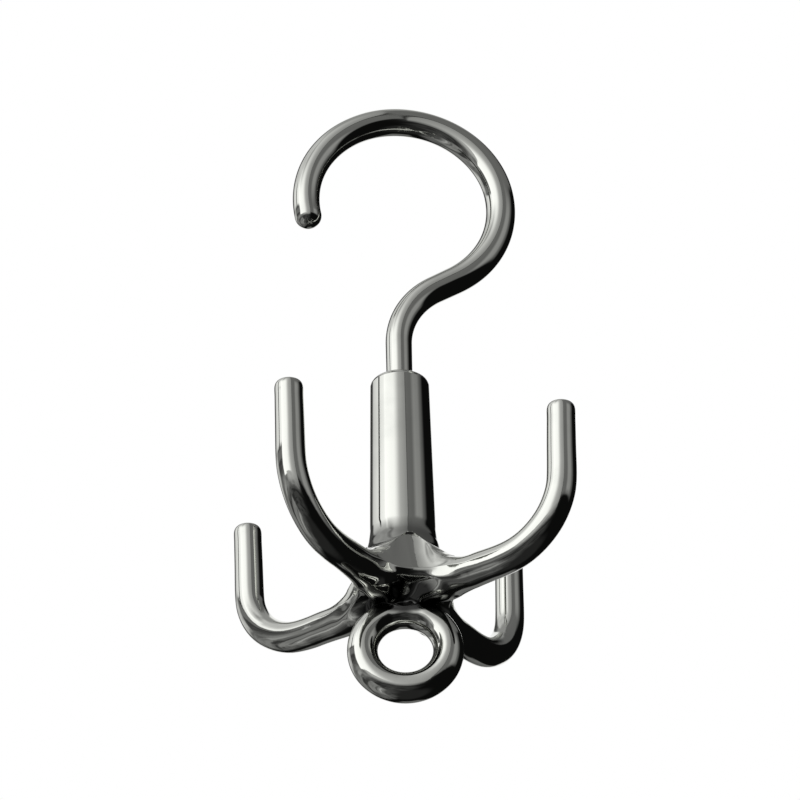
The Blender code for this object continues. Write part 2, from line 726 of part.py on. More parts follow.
def build_mouth_bush(material, parent):
    """The bush pressed into the sleeve's mouth, which the shank turns in."""
    outer = MOUTH_BORE_RADIUS - FIT_GAP
    inner = NECK_RADIUS + FIT_GAP
    edge = BUSH_CHAMFER
    profile = [
        (outer - edge, 0.0), (outer, -edge),
        (outer, edge - BUSH_LENGTH), (outer - edge, -BUSH_LENGTH),
        (inner, -BUSH_LENGTH), (inner, -0.5 * edge), (inner + 0.5 * edge, 0.0),
    ]
    return turned("mouth_bush", profile, material, parent, BUSH_TOP)


def build_thrust_washer(material, parent):
    """The washer between the bush and the retaining ring, which takes the load."""
    outer = MOUTH_BORE_RADIUS - 2.0 * FIT_GAP
    inner = NECK_RADIUS + FIT_GAP
    profile = [(outer, 0.0), (outer, -WASHER_THICKNESS), (inner, -WASHER_THICKNESS), (inner, 0.0)]
    return turned("thrust_washer", profile, material, parent, WASHER_TOP)


def build_retaining_ring(material, parent):
    """The open spring ring in the shank's groove, with rounded ends."""
    inner = NECK_RADIUS - GROOVE_DEPTH + FIT_GAP
    outer = inner + CLIP_WIDTH
    middle = 0.5 * (inner + outer)
    half_open = math.radians(0.5 * CLIP_OPENING)
    sweep = 2.0 * math.pi - 2.0 * half_open
    band_steps, end_steps = 24, 4

    def polar(radius, angle):
        return Vector((radius * math.cos(angle), radius * math.sin(angle), 0.0))

    def rounded_end(angle, away):
        centre = polar(middle, angle)
        along = polar(1.0, angle + away * math.pi / 2.0)
        across = polar(1.0, angle)
        swing = [math.pi * step / end_steps - math.pi / 2.0 for step in range(1, end_steps)]
        size = 0.5 * CLIP_WIDTH
        return [centre + size * (math.cos(turn) * along - away * math.sin(turn) * across) for turn in swing]

    outline = [polar(outer, half_open + sweep * step / band_steps) for step in range(band_steps + 1)]
    outline += rounded_end(half_open + sweep, 1.0)
    outline += [polar(inner, half_open + sweep * (1.0 - step / band_steps)) for step in range(band_steps + 1)]
    outline += rounded_end(half_open, -1.0)
    bm = bmesh.new()
    face = bm.faces.new([bm.verts.new(point) for point in outline])
    grown = bmesh.ops.extrude_face_region(bm, geom=[face])
    lifted = [item for item in grown["geom"] if isinstance(item, bmesh.types.BMVert)]
    bmesh.ops.translate(bm, vec=(0.0, 0.0, CLIP_THICKNESS), verts=lifted)
    item = add_object("retaining_ring", finish_bmesh("retaining_ring", bm), material, parent)
    item.location.z = CLIP_FOOT * MM
    return item


def main():
    """Build the two bodies: the rail hook with what rides on its shank, and the claw casting."""
    clear_scene()
    chrome = metal("polished_chrome", (0.72, 0.73, 0.72), 0.06)
    bush_steel = metal("bush_steel", (0.62, 0.61, 0.58), 0.25)
    spring_steel = metal("spring_steel", (0.34, 0.34, 0.36), 0.35)
    nylon = plastic("nylon", (0.83, 0.82, 0.77), 0.45)

    hook_frame = add_empty("hook_frame", CLAW_LEVEL)
    swivel = add_empty("swivel", 0.0, hook_frame)

    build_rail_hook(chrome, hook_frame)
    build_retaining_ring(spring_steel, hook_frame)
    build_thrust_washer(nylon, hook_frame)
    build_claw_body(chrome, swivel)
    build_mouth_bush(bush_steel, swivel)


if __name__ == "__main__":
    main()
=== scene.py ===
"""Rotating wardrobe hook in polished chrome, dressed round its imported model.

A bent rod hangs over a wardrobe rail and turns in the sleeve of a four-claw casting, with a ring
below it. The swivel axis is the Z axis, and the origin is where the hook's crown sits on the rail.
The part's classes hold their sizes in millimetres, which become metres where a mesh or a shader
is made. The studio is laid out in metres.
"""

from __future__ import annotations

import logging
import math
from dataclasses import dataclass
from enum import Enum
from functools import reduce
from operator import mul
from typing import Any, Protocol

import bpy
import numpy as np
from mathutils import Matrix, Vector

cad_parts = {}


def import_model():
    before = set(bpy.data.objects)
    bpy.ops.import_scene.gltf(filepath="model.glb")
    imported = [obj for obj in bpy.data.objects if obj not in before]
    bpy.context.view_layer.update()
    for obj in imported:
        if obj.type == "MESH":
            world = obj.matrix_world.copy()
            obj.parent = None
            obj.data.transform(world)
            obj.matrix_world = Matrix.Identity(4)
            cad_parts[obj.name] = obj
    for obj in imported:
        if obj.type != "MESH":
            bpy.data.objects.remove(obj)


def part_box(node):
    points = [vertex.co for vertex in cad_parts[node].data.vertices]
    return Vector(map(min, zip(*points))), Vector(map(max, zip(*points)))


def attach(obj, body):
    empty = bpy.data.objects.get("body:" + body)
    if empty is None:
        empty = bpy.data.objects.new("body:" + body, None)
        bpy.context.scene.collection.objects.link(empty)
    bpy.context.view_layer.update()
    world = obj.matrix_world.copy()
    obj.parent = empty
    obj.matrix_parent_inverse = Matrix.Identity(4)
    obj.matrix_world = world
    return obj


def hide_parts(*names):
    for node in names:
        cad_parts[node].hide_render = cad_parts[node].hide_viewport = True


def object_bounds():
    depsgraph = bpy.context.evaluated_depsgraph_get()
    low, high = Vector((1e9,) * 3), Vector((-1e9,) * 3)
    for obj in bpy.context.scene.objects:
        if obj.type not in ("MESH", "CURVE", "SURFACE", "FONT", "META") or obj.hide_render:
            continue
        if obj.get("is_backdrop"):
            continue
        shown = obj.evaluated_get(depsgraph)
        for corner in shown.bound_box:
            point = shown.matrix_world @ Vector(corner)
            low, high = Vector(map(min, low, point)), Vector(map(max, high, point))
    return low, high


LOG = logging.getLogger("wardrobe_hook")
MM = 0.001
MICROMETRE = 1e-6
TURN = 2.0 * math.pi

Faces = list[list[int]]
Colour = tuple[float, float, float]


class Body(Enum):
    """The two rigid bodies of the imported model."""

    HOOK = "rail_hook"
    CASTING = "claw_casting"


class Slot(Enum):
    """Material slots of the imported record."""

    ROD = "chromed_rod"
    CASTING = "chromed_casting"
    BUSH = "bush_steel"
    SPRING = "spring_steel"
    WASHER = "washer_nylon"


# Shader maths


@dataclass(frozen=True)
class Signal:
    """A number on its way through a shader tree; the operators add Math nodes."""

    tree: "ShaderTree"
    socket: bpy.types.NodeSocket

    def __add__(self, other: "Signal | float") -> "Signal":
        """Sum of two numbers."""
        return self.tree.math("ADD", self, other)

    __radd__ = __add__

    def __sub__(self, other: "Signal | float") -> "Signal":
        """This number less another."""
        return self.tree.math("SUBTRACT", self, other)

    def __rsub__(self, other: float) -> "Signal":
        """A plain number less this one."""
        return self.tree.math("SUBTRACT", other, self)

    def __mul__(self, other: "Signal | float") -> "Signal":
        """Product of two numbers."""
        return self.tree.math("MULTIPLY", self, other)

    __rmul__ = __mul__

    def __truediv__(self, other: "Signal | float") -> "Signal":
        """This number divided by another."""
        return self.tree.math("DIVIDE", self, other)

    def __pow__(self, other: "Signal | float") -> "Signal":
        """This number raised to a power."""
        return self.tree.math("POWER", self, other)


class ShaderTree:
    """The node tree of one material or of the world."""

    def __init__(self, owner: bpy.types.Material | bpy.types.World) -> None:
        """Empty the owner's tree.

        Args:
            owner: material or world whose nodes are replaced.
        """
        owner.use_nodes = True
        self.nodes = owner.node_tree.nodes
        self.links = owner.node_tree.links
        self.nodes.clear()

    def node(
        self,
        kind: str,
        settings: dict[str, Any] | None = None,
        inputs: dict[str | int, Any] | None = None,
    ) -> bpy.types.Node:
        """Add a node, with its settings first and then its sockets.

        Args:
            kind: the node's type after "ShaderNode".
            settings: properties by name.
            inputs: values, signals or sockets by the input's name or number.

        Returns:
            The new node.
        """
        made = self.nodes.new("ShaderNode" + kind)
        for name, value in (settings or {}).items():
            setattr(made, name, value)
        for name, value in (inputs or {}).items():
            self.feed(made.inputs[name], value)
        return made

    def feed(self, target: bpy.types.NodeSocket, value: Any) -> None:
        """Link a signal or socket to an input, or set the input's own value.

        Args:
            target: the input.
            value: a signal, a socket or a plain value.
        """
        if isinstance(value, Signal):
            self.links.new(value.socket, target)
        elif isinstance(value, bpy.types.NodeSocket):
            self.links.new(value, target)
        else:
            target.default_value = value

    def math(self, operation: str, first: Any, second: Any = 0.0) -> Signal:
        """A Math node of two numbers."""
        made = self.node("Math", {"operation": operation}, {0: first, 1: second})
        return Signal(self, made.outputs[0])

    def signal(self, node: bpy.types.Node, output: str) -> Signal:
        """A node's output as a number to reckon with."""
        return Signal(self, node.outputs[output])

    def remap(self, value: Signal, low: float, high: float) -> Signal:
        """0 below low and 1 above high, with a smooth step between them.

        Args:
            value: the number.
            low: where the step starts.
            high: where it ends.

        Returns:
            The step as a signal.
        """
        made = self.node(
            "MapRange",
            {"interpolation_type": "SMOOTHSTEP"},
            {"Value": value, "From Min": low, "From Max": high},
        )
        return self.signal(made, "Result")

    def place(self) -> bpy.types.NodeSocket:
        """Object coordinates, in metres."""
        return self.node("TexCoord").outputs["Object"]

    def attribute(self, name: str) -> bpy.types.Node:
        """A node that reads one of the mesh's own attributes."""
        return self.node("Attribute", {"attribute_name": name})

    def axes(self, vector: bpy.types.NodeSocket) -> tuple[Signal, ...]:
        """A vector's three parts as numbers."""
        parts = self.node("SeparateXYZ", None, {0: vector})
        return tuple(self.signal(parts, axis) for axis in "XYZ")

    def noise(
        self, vector: bpy.types.NodeSocket, period: float, detail: float = 2.0, rough: float = 0.5
    ) -> Signal:
        """Noise from 0 to 1 whose lumps are about one period apart.

        Args:
            vector: coordinates in metres.
            period: distance between lumps in millimetres.
            detail: finer layers on top of it.
            rough: strength of those layers.

        Returns:
            The noise as a signal.
        """
        made = self.node(
            "TexNoise",
            {"noise_dimensions": "3D"},
            {"Vector": vector, "Scale": 1.0 / (period * MM), "Detail": detail, "Roughness": rough},
        )
        return self.signal(made, "Fac")

    def stretched(
        self, vector: bpy.types.NodeSocket, scale: tuple[float, float, float]
    ) -> bpy.types.NodeSocket:
        """Coordinates squeezed by a factor along each axis, which draws a pattern out there."""
        made = self.node("Mapping", None, {"Vector": vector, "Scale": scale})
        return made.outputs["Vector"]

    def blend(
        self, share: Signal, first: Colour | bpy.types.NodeSocket, second: Colour
    ) -> bpy.types.NodeSocket:
        """A colour that goes over from a first one into a second by a share from 0 to 1.

        Args:
            share: 0 for the first colour and 1 for the second.
            first: a colour, or a socket that carries one.
            second: the other colour.

        Returns:
            The blended colour.
        """
        first = (*first, 1.0) if isinstance(first, tuple) else first
        made = self.node("Mix", {"data_type": "RGBA"}, {"Factor": share, 6: first, 7: (*second, 1.0)})
        return made.outputs[2]

    def relief(self, height: Signal) -> bpy.types.NodeSocket:
        """A normal bumped by a height in micrometres.

        Args:
            height: the height as a signal.

        Returns:
            The bumped normal.
        """
        metres = height * MICROMETRE
        made = self.node("Bump", None, {"Strength": 1.0, "Distance": 1.0, "Height": metres})
        return made.outputs["Normal"]

    def surface(self, shader: bpy.types.NodeSocket, kind: str = "OutputMaterial") -> None:
        """Link a shader to the tree's output."""
        self.node(kind, None, {"Surface": shader})

    def principled(self, inputs: dict[str, Any]) -> None:
        """Make a Principled shader with these inputs the tree's surface."""
        self.surface(self.node("BsdfPrincipled", None, inputs).outputs[0])

    def mixed(
        self,
        share: Signal,
        first: bpy.types.Node,
        second: bpy.types.Node,
        kind: str = "OutputMaterial",
    ) -> None:
        """Make the tree's surface a first shader that goes over into a second by a share."""
        mix = self.node("MixShader", None, {0: share, 1: first.outputs[0], 2: second.outputs[0]})
        self.surface(mix.outputs[0], kind)


def new_material(name: str) -> tuple[bpy.types.Material, ShaderTree]:
    """A new material and its empty tree."""
    material = bpy.data.materials.new(name)
    return material, ShaderTree(material)


class Finish(Protocol):
    """Anything that can make a material for a piece."""

    def material(self, name: str) -> bpy.types.Material:
        """Make the material under a name."""


@dataclass(frozen=True)
class PolishedChrome:
    """Bright chrome plate on a buffed part, with the soft waviness and hairlines of buffing.

    Periods and places are in millimetres, heights of relief in micrometres. The plate's colour is
    `bright`, and `dull` under a smudge. A small number in `grain` draws the hairlines out along
    that axis, and `along` names the attribute that the patterns follow instead of the part's own
    coordinates. The ripple is that of a cast skin, which fades out upwards over its span. Painted
    shade takes the colour over into near black in the recess, which is also hazier, and where a
    point attribute asks for it.
    """

    bright: Colour = (0.80, 0.81, 0.765)
    dull: Colour = (0.70, 0.71, 0.67)
    # Near black, painted as shade in the recess and where the point attribute asks for it.
    painted_shade: Colour = (0.05, 0.05, 0.05)
    roughness: float = 0.035
    haze: float = 0.035
    smudge_period: float = 11.0
    smudge_levels: tuple[float, float] = (0.52, 0.72)
    smudge_share: float = 0.6
    wave_period: float = 7.0
    wave_height: float = 1.6
    hairline_period: float = 0.35
    hairline_height: float = 0.012
    grain: tuple[float, float, float] = (1.0, 1.0, 1.0)
    along: str = ""
    ripple_height: float = 0.0
    ripple_period: float = 2.6
    ripple_span: tuple[float, float] = (-128.0, -112.0)
    # The recess where shade is painted: its height, reach and edge, the share of painted shade and the
    # added haze.
    recess_height: float = 0.0
    recess_reach: tuple[float, float] = (0.0, 0.0)
    recess_edge: tuple[float, float] = (0.62, 1.08)
    recess_shade_share: float = 0.93
    recess_haze: float = 0.06
    foot_shade: str = ""
    foot_shade_share: float = 0.6

    def material(self, name: str) -> bpy.types.Material:
        """Make the material.

        Args:
            name: the material's name.

        Returns:
            Chrome whose gloss varies with buffing haze and whose relief is a slow wave with
            hairlines drawn out along the grain.
        """
        material, tree = new_material(name)
        place = tree.attribute(self.along).outputs["Vector"] if self.along else tree.place()
        drawn = tree.stretched(place, self.grain)
        cloud = tree.noise(place, self.smudge_period, 3.0)
        hairline = tree.noise(drawn, self.hairline_period, 3.0, 0.6)
        wave = tree.noise(place, self.wave_period, 1.0, 0.3)
        smudge = tree.remap(cloud, *self.smudge_levels)
        rough = self.roughness + self.haze * smudge + 0.5 * self.haze * hairline
        height = self.wave_height * wave + self.hairline_height * hairline
        if self.ripple_height > 0.0:
            level = tree.axes(tree.place())[2]
            smooth = tree.remap(level, *(end * MM for end in self.ripple_span))
            ripple = tree.noise(place, self.ripple_period, 2.0, 0.5)
            height = height + self.ripple_height * (1.0 - smooth) * ripple
        base = tree.blend(smudge * self.smudge_share, self.bright, self.dull)
        # Painted shade: in the recess the colour goes over into near black, and the plate there is also
        # hazier.
        if self.recess_reach[0] > 0.0:
            recess = self.recess(tree)
            base = tree.blend(recess * self.recess_shade_share, base, self.painted_shade)
            rough = rough + self.recess_haze * recess
        # Painted shade where a point attribute asks for it: on the casting, the crease at the sleeve's
        # foot.
        if self.foot_shade:
            foot_shade_amount = tree.signal(tree.attribute(self.foot_shade), "Fac")
            base = tree.blend(foot_shade_amount * self.foot_shade_share, base, self.painted_shade)
        relief = tree.relief(height)
        tree.principled({"Base Color": base, "Metallic": 1.0, "Roughness": rough, "Normal": relief})
        return material

    def recess(self, tree: ShaderTree) -> Signal:
        """Where shade is painted into the colour in a recess, which is also hazier, 0 to 1.

        The recess is an oval body round the swivel axis: (r / reach)^2 + (z / height)^2 < 1.

        Args:
            tree: the material's tree.

        Returns:
            The share of painted shade and haze as a signal.
        """
        reach, half_height = (size * MM for size in self.recess_reach)
        across, depth, level = tree.axes(tree.place())
        rise = (level - self.recess_height * MM) / half_height
        away = (across * across + depth * depth) / reach ** 2 + rise * rise
        return 1.0 - tree.remap(away, *self.recess_edge)


@dataclass(frozen=True)
class TurnedMetal:
    """Bare metal off the lathe: fine rings round the swivel axis under a thin film of grease.

    Periods are in millimetres, heights of relief in micrometres.
    """

    colour: Colour
    stain: Colour
    roughness: float
    groove_pitch: float = 0.18
    groove_height: float = 1.2
    groove_haze: float = 0.03
    grime_period: float = 2.5
    grime_levels: tuple[float, float] = (0.45, 0.7)
    grime_height: float = 3.0
    grime_haze: float = 0.15

    def material(self, name: str) -> bpy.types.Material:
        """Make the material.

        Args:
            name: the material's name.

        Returns:
            Metal with rings a groove pitch apart, by distance from the axis plus height.
        """
        material, tree = new_material(name)
        place = tree.place()
        across, depth, level = tree.axes(place)
        radius = (across * across + depth * depth) ** 0.5
        travel = (radius + level) * (TURN / (self.groove_pitch * MM))
        ring = tree.math("SINE", travel)
        patch = tree.noise(place, self.grime_period, 4.0)
        grime = tree.remap(patch, *self.grime_levels)
        tree.principled({
            "Base Color": tree.blend(grime, self.colour, self.stain),
            "Metallic": 1.0,
            "Roughness": self.roughness + self.grime_haze * grime + self.groove_haze * ring,
            "Normal": tree.relief(self.groove_height * ring + self.grime_height * patch),
        })
        return material


@dataclass(frozen=True)
class MouldedNylon:
    """Natural nylon as it leaves the mould: waxy, faintly mottled, with a fine texture.

    Periods are in millimetres, heights of relief in micrometres.
    """

    colour: Colour = (0.83, 0.82, 0.76)
    mottle: Colour = (0.74, 0.72, 0.64)
    roughness: float = 0.42
    cloud_period: float = 1.8
    cloud_levels: tuple[float, float] = (0.35, 0.75)
    cloud_haze: float = 0.12
    grain_period: float = 0.12
    grain_height: float = 2.0

    def material(self, name: str) -> bpy.types.Material:
        """Make the material.

        Args:
            name: the material's name.

        Returns:
            Nylon with a cloudy colour and a fine moulded grain.
        """
        material, tree = new_material(name)
        place = tree.place()
        cloud = tree.noise(place, self.cloud_period, 3.0)
        grain = tree.noise(place, self.grain_period, 2.0)
        mottled = tree.remap(cloud, *self.cloud_levels)
        tree.principled({
            "Base Color": tree.blend(mottled, self.colour, self.mottle),
            "Roughness": self.roughness + self.cloud_haze * cloud,
            "Normal": tree.relief(self.grain_height * grain),
        })
        return material


# Mesh helpers


def smoothstep(share: np.ndarray) -> np.ndarray:
    """3 t squared less 2 t cubed, for shares from 0 to 1."""
    return share * share * (3.0 - 2.0 * share)


def grid_faces(ids: np.ndarray, around: bool = True) -> np.ndarray:
    """Quads between the rows of a grid of vertex numbers.

    Args:
        ids: vertex numbers, one row for each ring.
        around: whether the last column joins the first.

    Returns:
        Faces as an array of four numbers each.
    """
    after = np.roll(ids, -1, axis=1)
    if not around:
        ids, after = ids[:, :-1], after[:, :-1]
    quads = np.stack([ids[:-1], after[:-1], after[1:], ids[1:]], axis=-1)
    return quads.reshape(-1, 4)


def lid_faces(ring: np.ndarray) -> np.ndarray:
    """Quads in strips across a ring of an even number of vertices, which close it.

    Args:
        ring: vertex numbers round the opening.

    Returns:
        Faces of four numbers each.
    """
    count = len(ring)
    step = np.arange(count // 2 - 1)
    strips = np.stack([step, step + 1, count - 2 - step, count - 1 - step], axis=-1)
    return ring[strips]


def fan_faces(ring: np.ndarray, pole: int) -> np.ndarray:
    """Triangles from a ring to its pole."""
    return np.stack([ring, np.roll(ring, -1), np.full(len(ring), pole)], axis=-1)


def signed_volume(points: np.ndarray, faces: Faces) -> float:
    """Volume inside a closed surface, negative if its faces point inwards.

    The sum, over the triangles of every face, of the box product of their corners over six.

    Args:
        points: the surface's vertices.
        faces: vertex numbers of each face.

    Returns:
        The volume, in the points' own measure.
    """
    corners = np.array([(f[0], f[i], f[i + 1]) for f in faces for i in range(1, len(f) - 1)])
    first, second, third = points[corners[:, 0]], points[corners[:, 1]], points[corners[:, 2]]
    return float(np.einsum("ij,ij->", first, np.cross(second, third)) / 6.0)


def spun(points: np.ndarray, turn: float) -> np.ndarray:
    """Points turned about the axis: (x cos a - y sin a, x sin a + y cos a, z)."""
    cos, sin = math.cos(turn), math.sin(turn)
    return points @ np.array([[cos, sin, 0.0], [-sin, cos, 0.0], [0.0, 0.0, 1.0]])


def make_mesh(name: str, points: np.ndarray, faces: Faces) -> bpy.types.Mesh:
    """A smooth-shaded mesh in metres whose faces point outwards.

    Args:
        name: the mesh's name.
        points: vertices in millimetres.
        faces: vertex numbers of each face.

    Returns:
        The mesh.
    """
    if signed_volume(points, faces) < 0.0:
        faces = [face[::-1] for face in faces]
    mesh = bpy.data.meshes.new(name)
    mesh.from_pydata((points * MM).tolist(), [], faces)
    mesh.shade_smooth()
    mesh.validate()
    return mesh


def add_object(name: str, data: bpy.types.ID) -> bpy.types.Object:
    """A new object in the scene.

    Args:
        name: the object's name.
        data: its mesh, lamp or camera.

    Returns:
        The object, at the origin.
    """
    item = bpy.data.objects.new(name, data)
    bpy.context.scene.collection.objects.link(item)
    return item


def add_piece(
    mesh: bpy.types.Mesh, finish: Finish, body: Body, node: str
) -> bpy.types.Object:
    """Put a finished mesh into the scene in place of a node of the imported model.

    Args:
        mesh: the piece's mesh, in place.
        finish: what its surface is.
        body: the body that it moves with.
        node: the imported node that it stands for.

    Returns:
        The new object, named as its mesh.
    """
    mesh.materials.append(finish.material(mesh.name + "_finish"))
    piece = add_object(mesh.name, mesh)
    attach(piece, body.value)
    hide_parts(node)
    return piece


def turned_grid(profile: np.ndarray, steps: int) -> np.ndarray:
    """A profile of (radius, height) turned about the axis: (r cos a, r sin a, h) for each a.

    Args:
        profile: rows of (radius, height).
        steps: points round each turn.

    Returns:
        Points by the profile's row and the step.
    """
    angle = TURN * np.arange(steps) / steps
    radius, height = profile[:, :1], profile[:, 1:]
    flat = np.broadcast_to(height, (len(profile), steps))
    return np.stack([radius * np.cos(angle), radius * np.sin(angle), flat], axis=-1)


def rounded_profile(corners: list[tuple[float, float, float]], steps: int = 5) -> np.ndarray:
    """A closed profile with its corners rounded.

    Each corner (radius, height, rounding) becomes a curve with that cut on both sides: the
    quadratic blend (1-t)^2 a + 2 t (1-t) corner + t^2 b.

    Args:
        corners: the sharp corners in order, with each one's rounding.
        steps: points on each rounding, less one.

    Returns:
        Points of (radius, height).
    """
    sharp = np.array([corner[:2] for corner in corners])
    cut = np.array([corner[2] for corner in corners])[:, None]
    to_before = np.roll(sharp, 1, axis=0) - sharp
    to_after = np.roll(sharp, -1, axis=0) - sharp
    start = sharp + cut * to_before / np.linalg.norm(to_before, axis=1, keepdims=True)
    end = sharp + cut * to_after / np.linalg.norm(to_after, axis=1, keepdims=True)
    share = np.linspace(0.0, 1.0, steps + 1)[None, :, None]
    curve = (
        (1.0 - share) ** 2 * start[:, None]
        + 2.0 * share * (1.0 - share) * sharp[:, None]
        + share ** 2 * end[:, None]
    )
    return curve.reshape(-1, 2)


def turned_mesh(name: str, profile: np.ndarray, steps: int = 96) -> bpy.types.Mesh:
    """A closed profile turned about the axis.

    Args:
        name: the mesh's name.
        profile: (radius, height) round a closed section.
        steps: points round each turn.

    Returns:
        The mesh.
    """
    grid = turned_grid(profile, steps)
    ids = np.arange(grid.shape[0] * steps).reshape(grid.shape[0], steps)
    ids = np.vstack([ids, ids[:1]])
    return make_mesh(name, grid.reshape(-1, 3), grid_faces(ids).tolist())


# Heights along the swivel axis


@dataclass(frozen=True)
class SwivelStack:
    """Heights and radii that the rod, the casting and the fittings share, in millimetres.

    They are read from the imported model's nodes, so that the fine pieces sit where those do.
    """

    mouth: float
    bush_top: float
    bush_foot: float
    washer_top: float
    washer_foot: float
    clip_top: float
    clip_foot: float
    shank_foot: float
    fit_gap: float = 0.3
    shank_radius: float = 3.2
    groove_depth: float = 0.9
    bore_radius: float = 5.0

    @classmethod
    def from_frame(cls) -> "SwivelStack":
        """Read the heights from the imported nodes' boxes.

        Returns:
            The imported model's stack.
        """

        def ends(node: str) -> tuple[float, float]:
            """Lowest and highest place of a node, in millimetres."""
            low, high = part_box(node)
            return low.z / MM, high.z / MM

        bush_foot, bush_top = ends("mouth_bush")
        washer_foot, washer_top = ends("thrust_washer")
        clip_foot, clip_top = ends("retaining_ring")
        return cls(
            mouth=ends("claw_body")[1],
            bush_top=bush_top,
            bush_foot=bush_foot,
            washer_top=washer_top,
            washer_foot=washer_foot,
            clip_top=clip_top,
            clip_foot=clip_foot,
            shank_foot=ends("rail_hook")[0],
        )


# Rail hook


@dataclass(frozen=True)
class RailHook:
    """The bent rod: turned shank, neck, bend to the side and a crook of three arcs.

    Each arc of the crook is given as (radius, degrees of turn). The edges of the turned shank are
    broken by a small chamfer, and angles sharper than the sharp angle are shaded as edges.
    """

    stack: SwivelStack
    neck_length: float = 11.5
    neck_bend_radius: float = 20.4
    neck_bend_angle: float = 57.1
    slant_length: float = 5.8
    crook_side: tuple[float, float] = (27.1, 68.5)
    crook_crown: tuple[float, float] = (23.7, 105.4)
    crook_end: tuple[float, float] = (26.7, 73.7)
    side_radius: float = 3.65
    crown_radius: float = 3.48
    end_radius: float = 3.35
    end_length: float = 3.3
    end_steps: int = 13
    tail_chamfer: float = 0.6
    edge_break: float = 0.08
    sharp_angle: float = 50.0
    sides: int = 64
    spacing: float = 0.8

    def runs(self) -> np.ndarray:
        """Length and turn, in radians, of each run of constant curvature from the mouth up.

        Returns:
            Rows of (length, turn).
        """
        arcs = (self.crook_side, self.crook_crown, self.crook_end)
        bend = math.radians(self.neck_bend_angle)
        table = [
            (self.neck_length, 0.0),
            (self.neck_bend_radius * bend, -bend),
            (self.slant_length, 0.0),
        ]
        table += [(radius * math.radians(angle), math.radians(angle)) for radius, angle in arcs]
        return np.array(table)

    def centreline(self) -> tuple[np.ndarray, np.ndarray, np.ndarray]:
        """Follow the rod from the sleeve's mouth to its end.

        The heading grows evenly with length in each run, and every step advances by its chord,
        its length times sin(half turn) / (half turn), along the heading at its middle.

        Returns:
            Lengths along the rod, centre points (x, z) and headings.
        """
        table = self.runs()
        knots = np.concatenate([[0.0], np.cumsum(table[:, 0])])
        turned = math.pi / 2.0 + np.concatenate([[0.0], np.cumsum(table[:, 1])])
        count = int(knots[-1] / self.spacing)
        length = np.union1d(np.linspace(0.0, knots[-1], count), knots)
        heading = np.interp(length, knots, turned)
        half_turn = 0.5 * np.diff(heading)
        chord = np.diff(length) * np.sinc(half_turn / math.pi)
        middle = 0.5 * (heading[:-1] + heading[1:])
        steps = chord[:, None] * np.stack([np.cos(middle), np.sin(middle)], axis=-1)
        centre = np.vstack([[0.0, 0.0], np.cumsum(steps, axis=0)])
        centre[:, 1] += self.stack.mouth
        return length, centre, heading

    def radii(self, length: np.ndarray, centre: np.ndarray) -> np.ndarray:
        """Rod radius along its length, stepping smoothly between neck, side, crown and end.

        Args:
            length: lengths along the rod.
            centre: centre points (x, z) there.

        Returns:
            The radius at each length.
        """
        side = length[np.argmax(centre[:, 0])]
        crown = length[np.argmax(centre[:, 1])]
        places = np.array([0.0, side, crown, length[-1]])
        sizes = np.array(
            [self.stack.shank_radius, self.side_radius, self.crown_radius, self.end_radius]
        )
        phase = np.interp(length, places, np.arange(4.0))
        whole = np.minimum(phase.astype(int), 2)
        return sizes[whole] + np.diff(sizes)[whole] * smoothstep(phase - whole)

    def shank_rows(self) -> np.ndarray:
        """Rows (x, z, heading, radius) of the turned shank, from its foot to the mouth.

        Returns:
            The rows.
        """
        stack, edge = self.stack, self.edge_break
        foot, full, chamfer = stack.shank_foot, stack.shank_radius, self.tail_chamfer
        waist = full - stack.groove_depth
        groove_foot = stack.clip_foot - stack.fit_gap
        groove_top = stack.clip_top + stack.fit_gap
        turned = np.array([
            (foot, 0.0),
            (foot, full - chamfer - edge),
            (foot + edge, full - chamfer),
            (foot + chamfer, full - edge),
            (foot + chamfer + edge, full),
            (groove_foot - edge, full),
            (groove_foot, full - edge),
            (groove_foot, waist + edge),
            (groove_foot + edge, waist),
            (groove_top - edge, waist),
            (groove_top, waist + edge),
            (groove_top, full - edge),
            (groove_top + edge, full),
        ])
        upright = np.full(len(turned), math.pi / 2.0)
        return np.stack([np.zeros(len(turned)), turned[:, 0], upright, turned[:, 1]], axis=-1)

    def end_rows(self, centre: np.ndarray, heading: float) -> np.ndarray:
        """Rows (x, z, heading, radius) of the rounded end.

        An ellipse of the end's length by its radius: length sin(a) along, radius cos(a) across.

        Args:
            centre: centre point (x, z) where the rounding starts.
            heading: the rod's heading there.

        Returns:
            The rows, from the rod to its tip.
        """
        angle = np.linspace(0.0, math.pi / 2.0, self.end_steps)
        along = self.end_length * np.sin(angle)
        radius = self.end_radius * np.cos(angle)
        x = centre[0] + along * math.cos(heading)
        z = centre[1] + along * math.sin(heading)
        return np.stack([x, z, np.full(self.end_steps, heading), radius], axis=-1)

    def mesh(self) -> bpy.types.Mesh:
        """Carry a circle along the rod: centre + r cos(a) normal + r sin(a) across its plane.

        Returns:
            The rod's closed mesh.
        """
        length, centre, heading = self.centreline()
        radius = self.radii(length, centre)
        body = np.column_stack([centre, heading, radius])
        rows = np.vstack([self.shank_rows(), body, self.end_rows(centre[-1], heading[-1])[1:]])
        start, end = rows[0, :2], rows[-1, :2]
        rows = rows[1:-1]
        angle = TURN * np.arange(self.sides) / self.sides
        across = rows[:, 3:] * np.cos(angle)
        x = rows[:, :1] + np.sin(rows[:, 2:3]) * across
        y = rows[:, 3:] * np.sin(angle)
        z = rows[:, 1:2] - np.cos(rows[:, 2:3]) * across
        grid = np.stack([x, y, z], axis=-1)
        count = grid.shape[0] * self.sides
        ids = np.arange(count).reshape(-1, self.sides)
        points = np.vstack([grid.reshape(-1, 3), [start[0], 0.0, start[1]], [end[0], 0.0, end[1]]])
        faces = grid_faces(ids).tolist()
        faces += fan_faces(ids[0][::-1], count).tolist()
        faces += fan_faces(ids[-1], count + 1).tolist()
        mesh = make_mesh("rail_hook_rod", points, faces)
        self.store_lay(mesh, rows, angle)
        return mesh

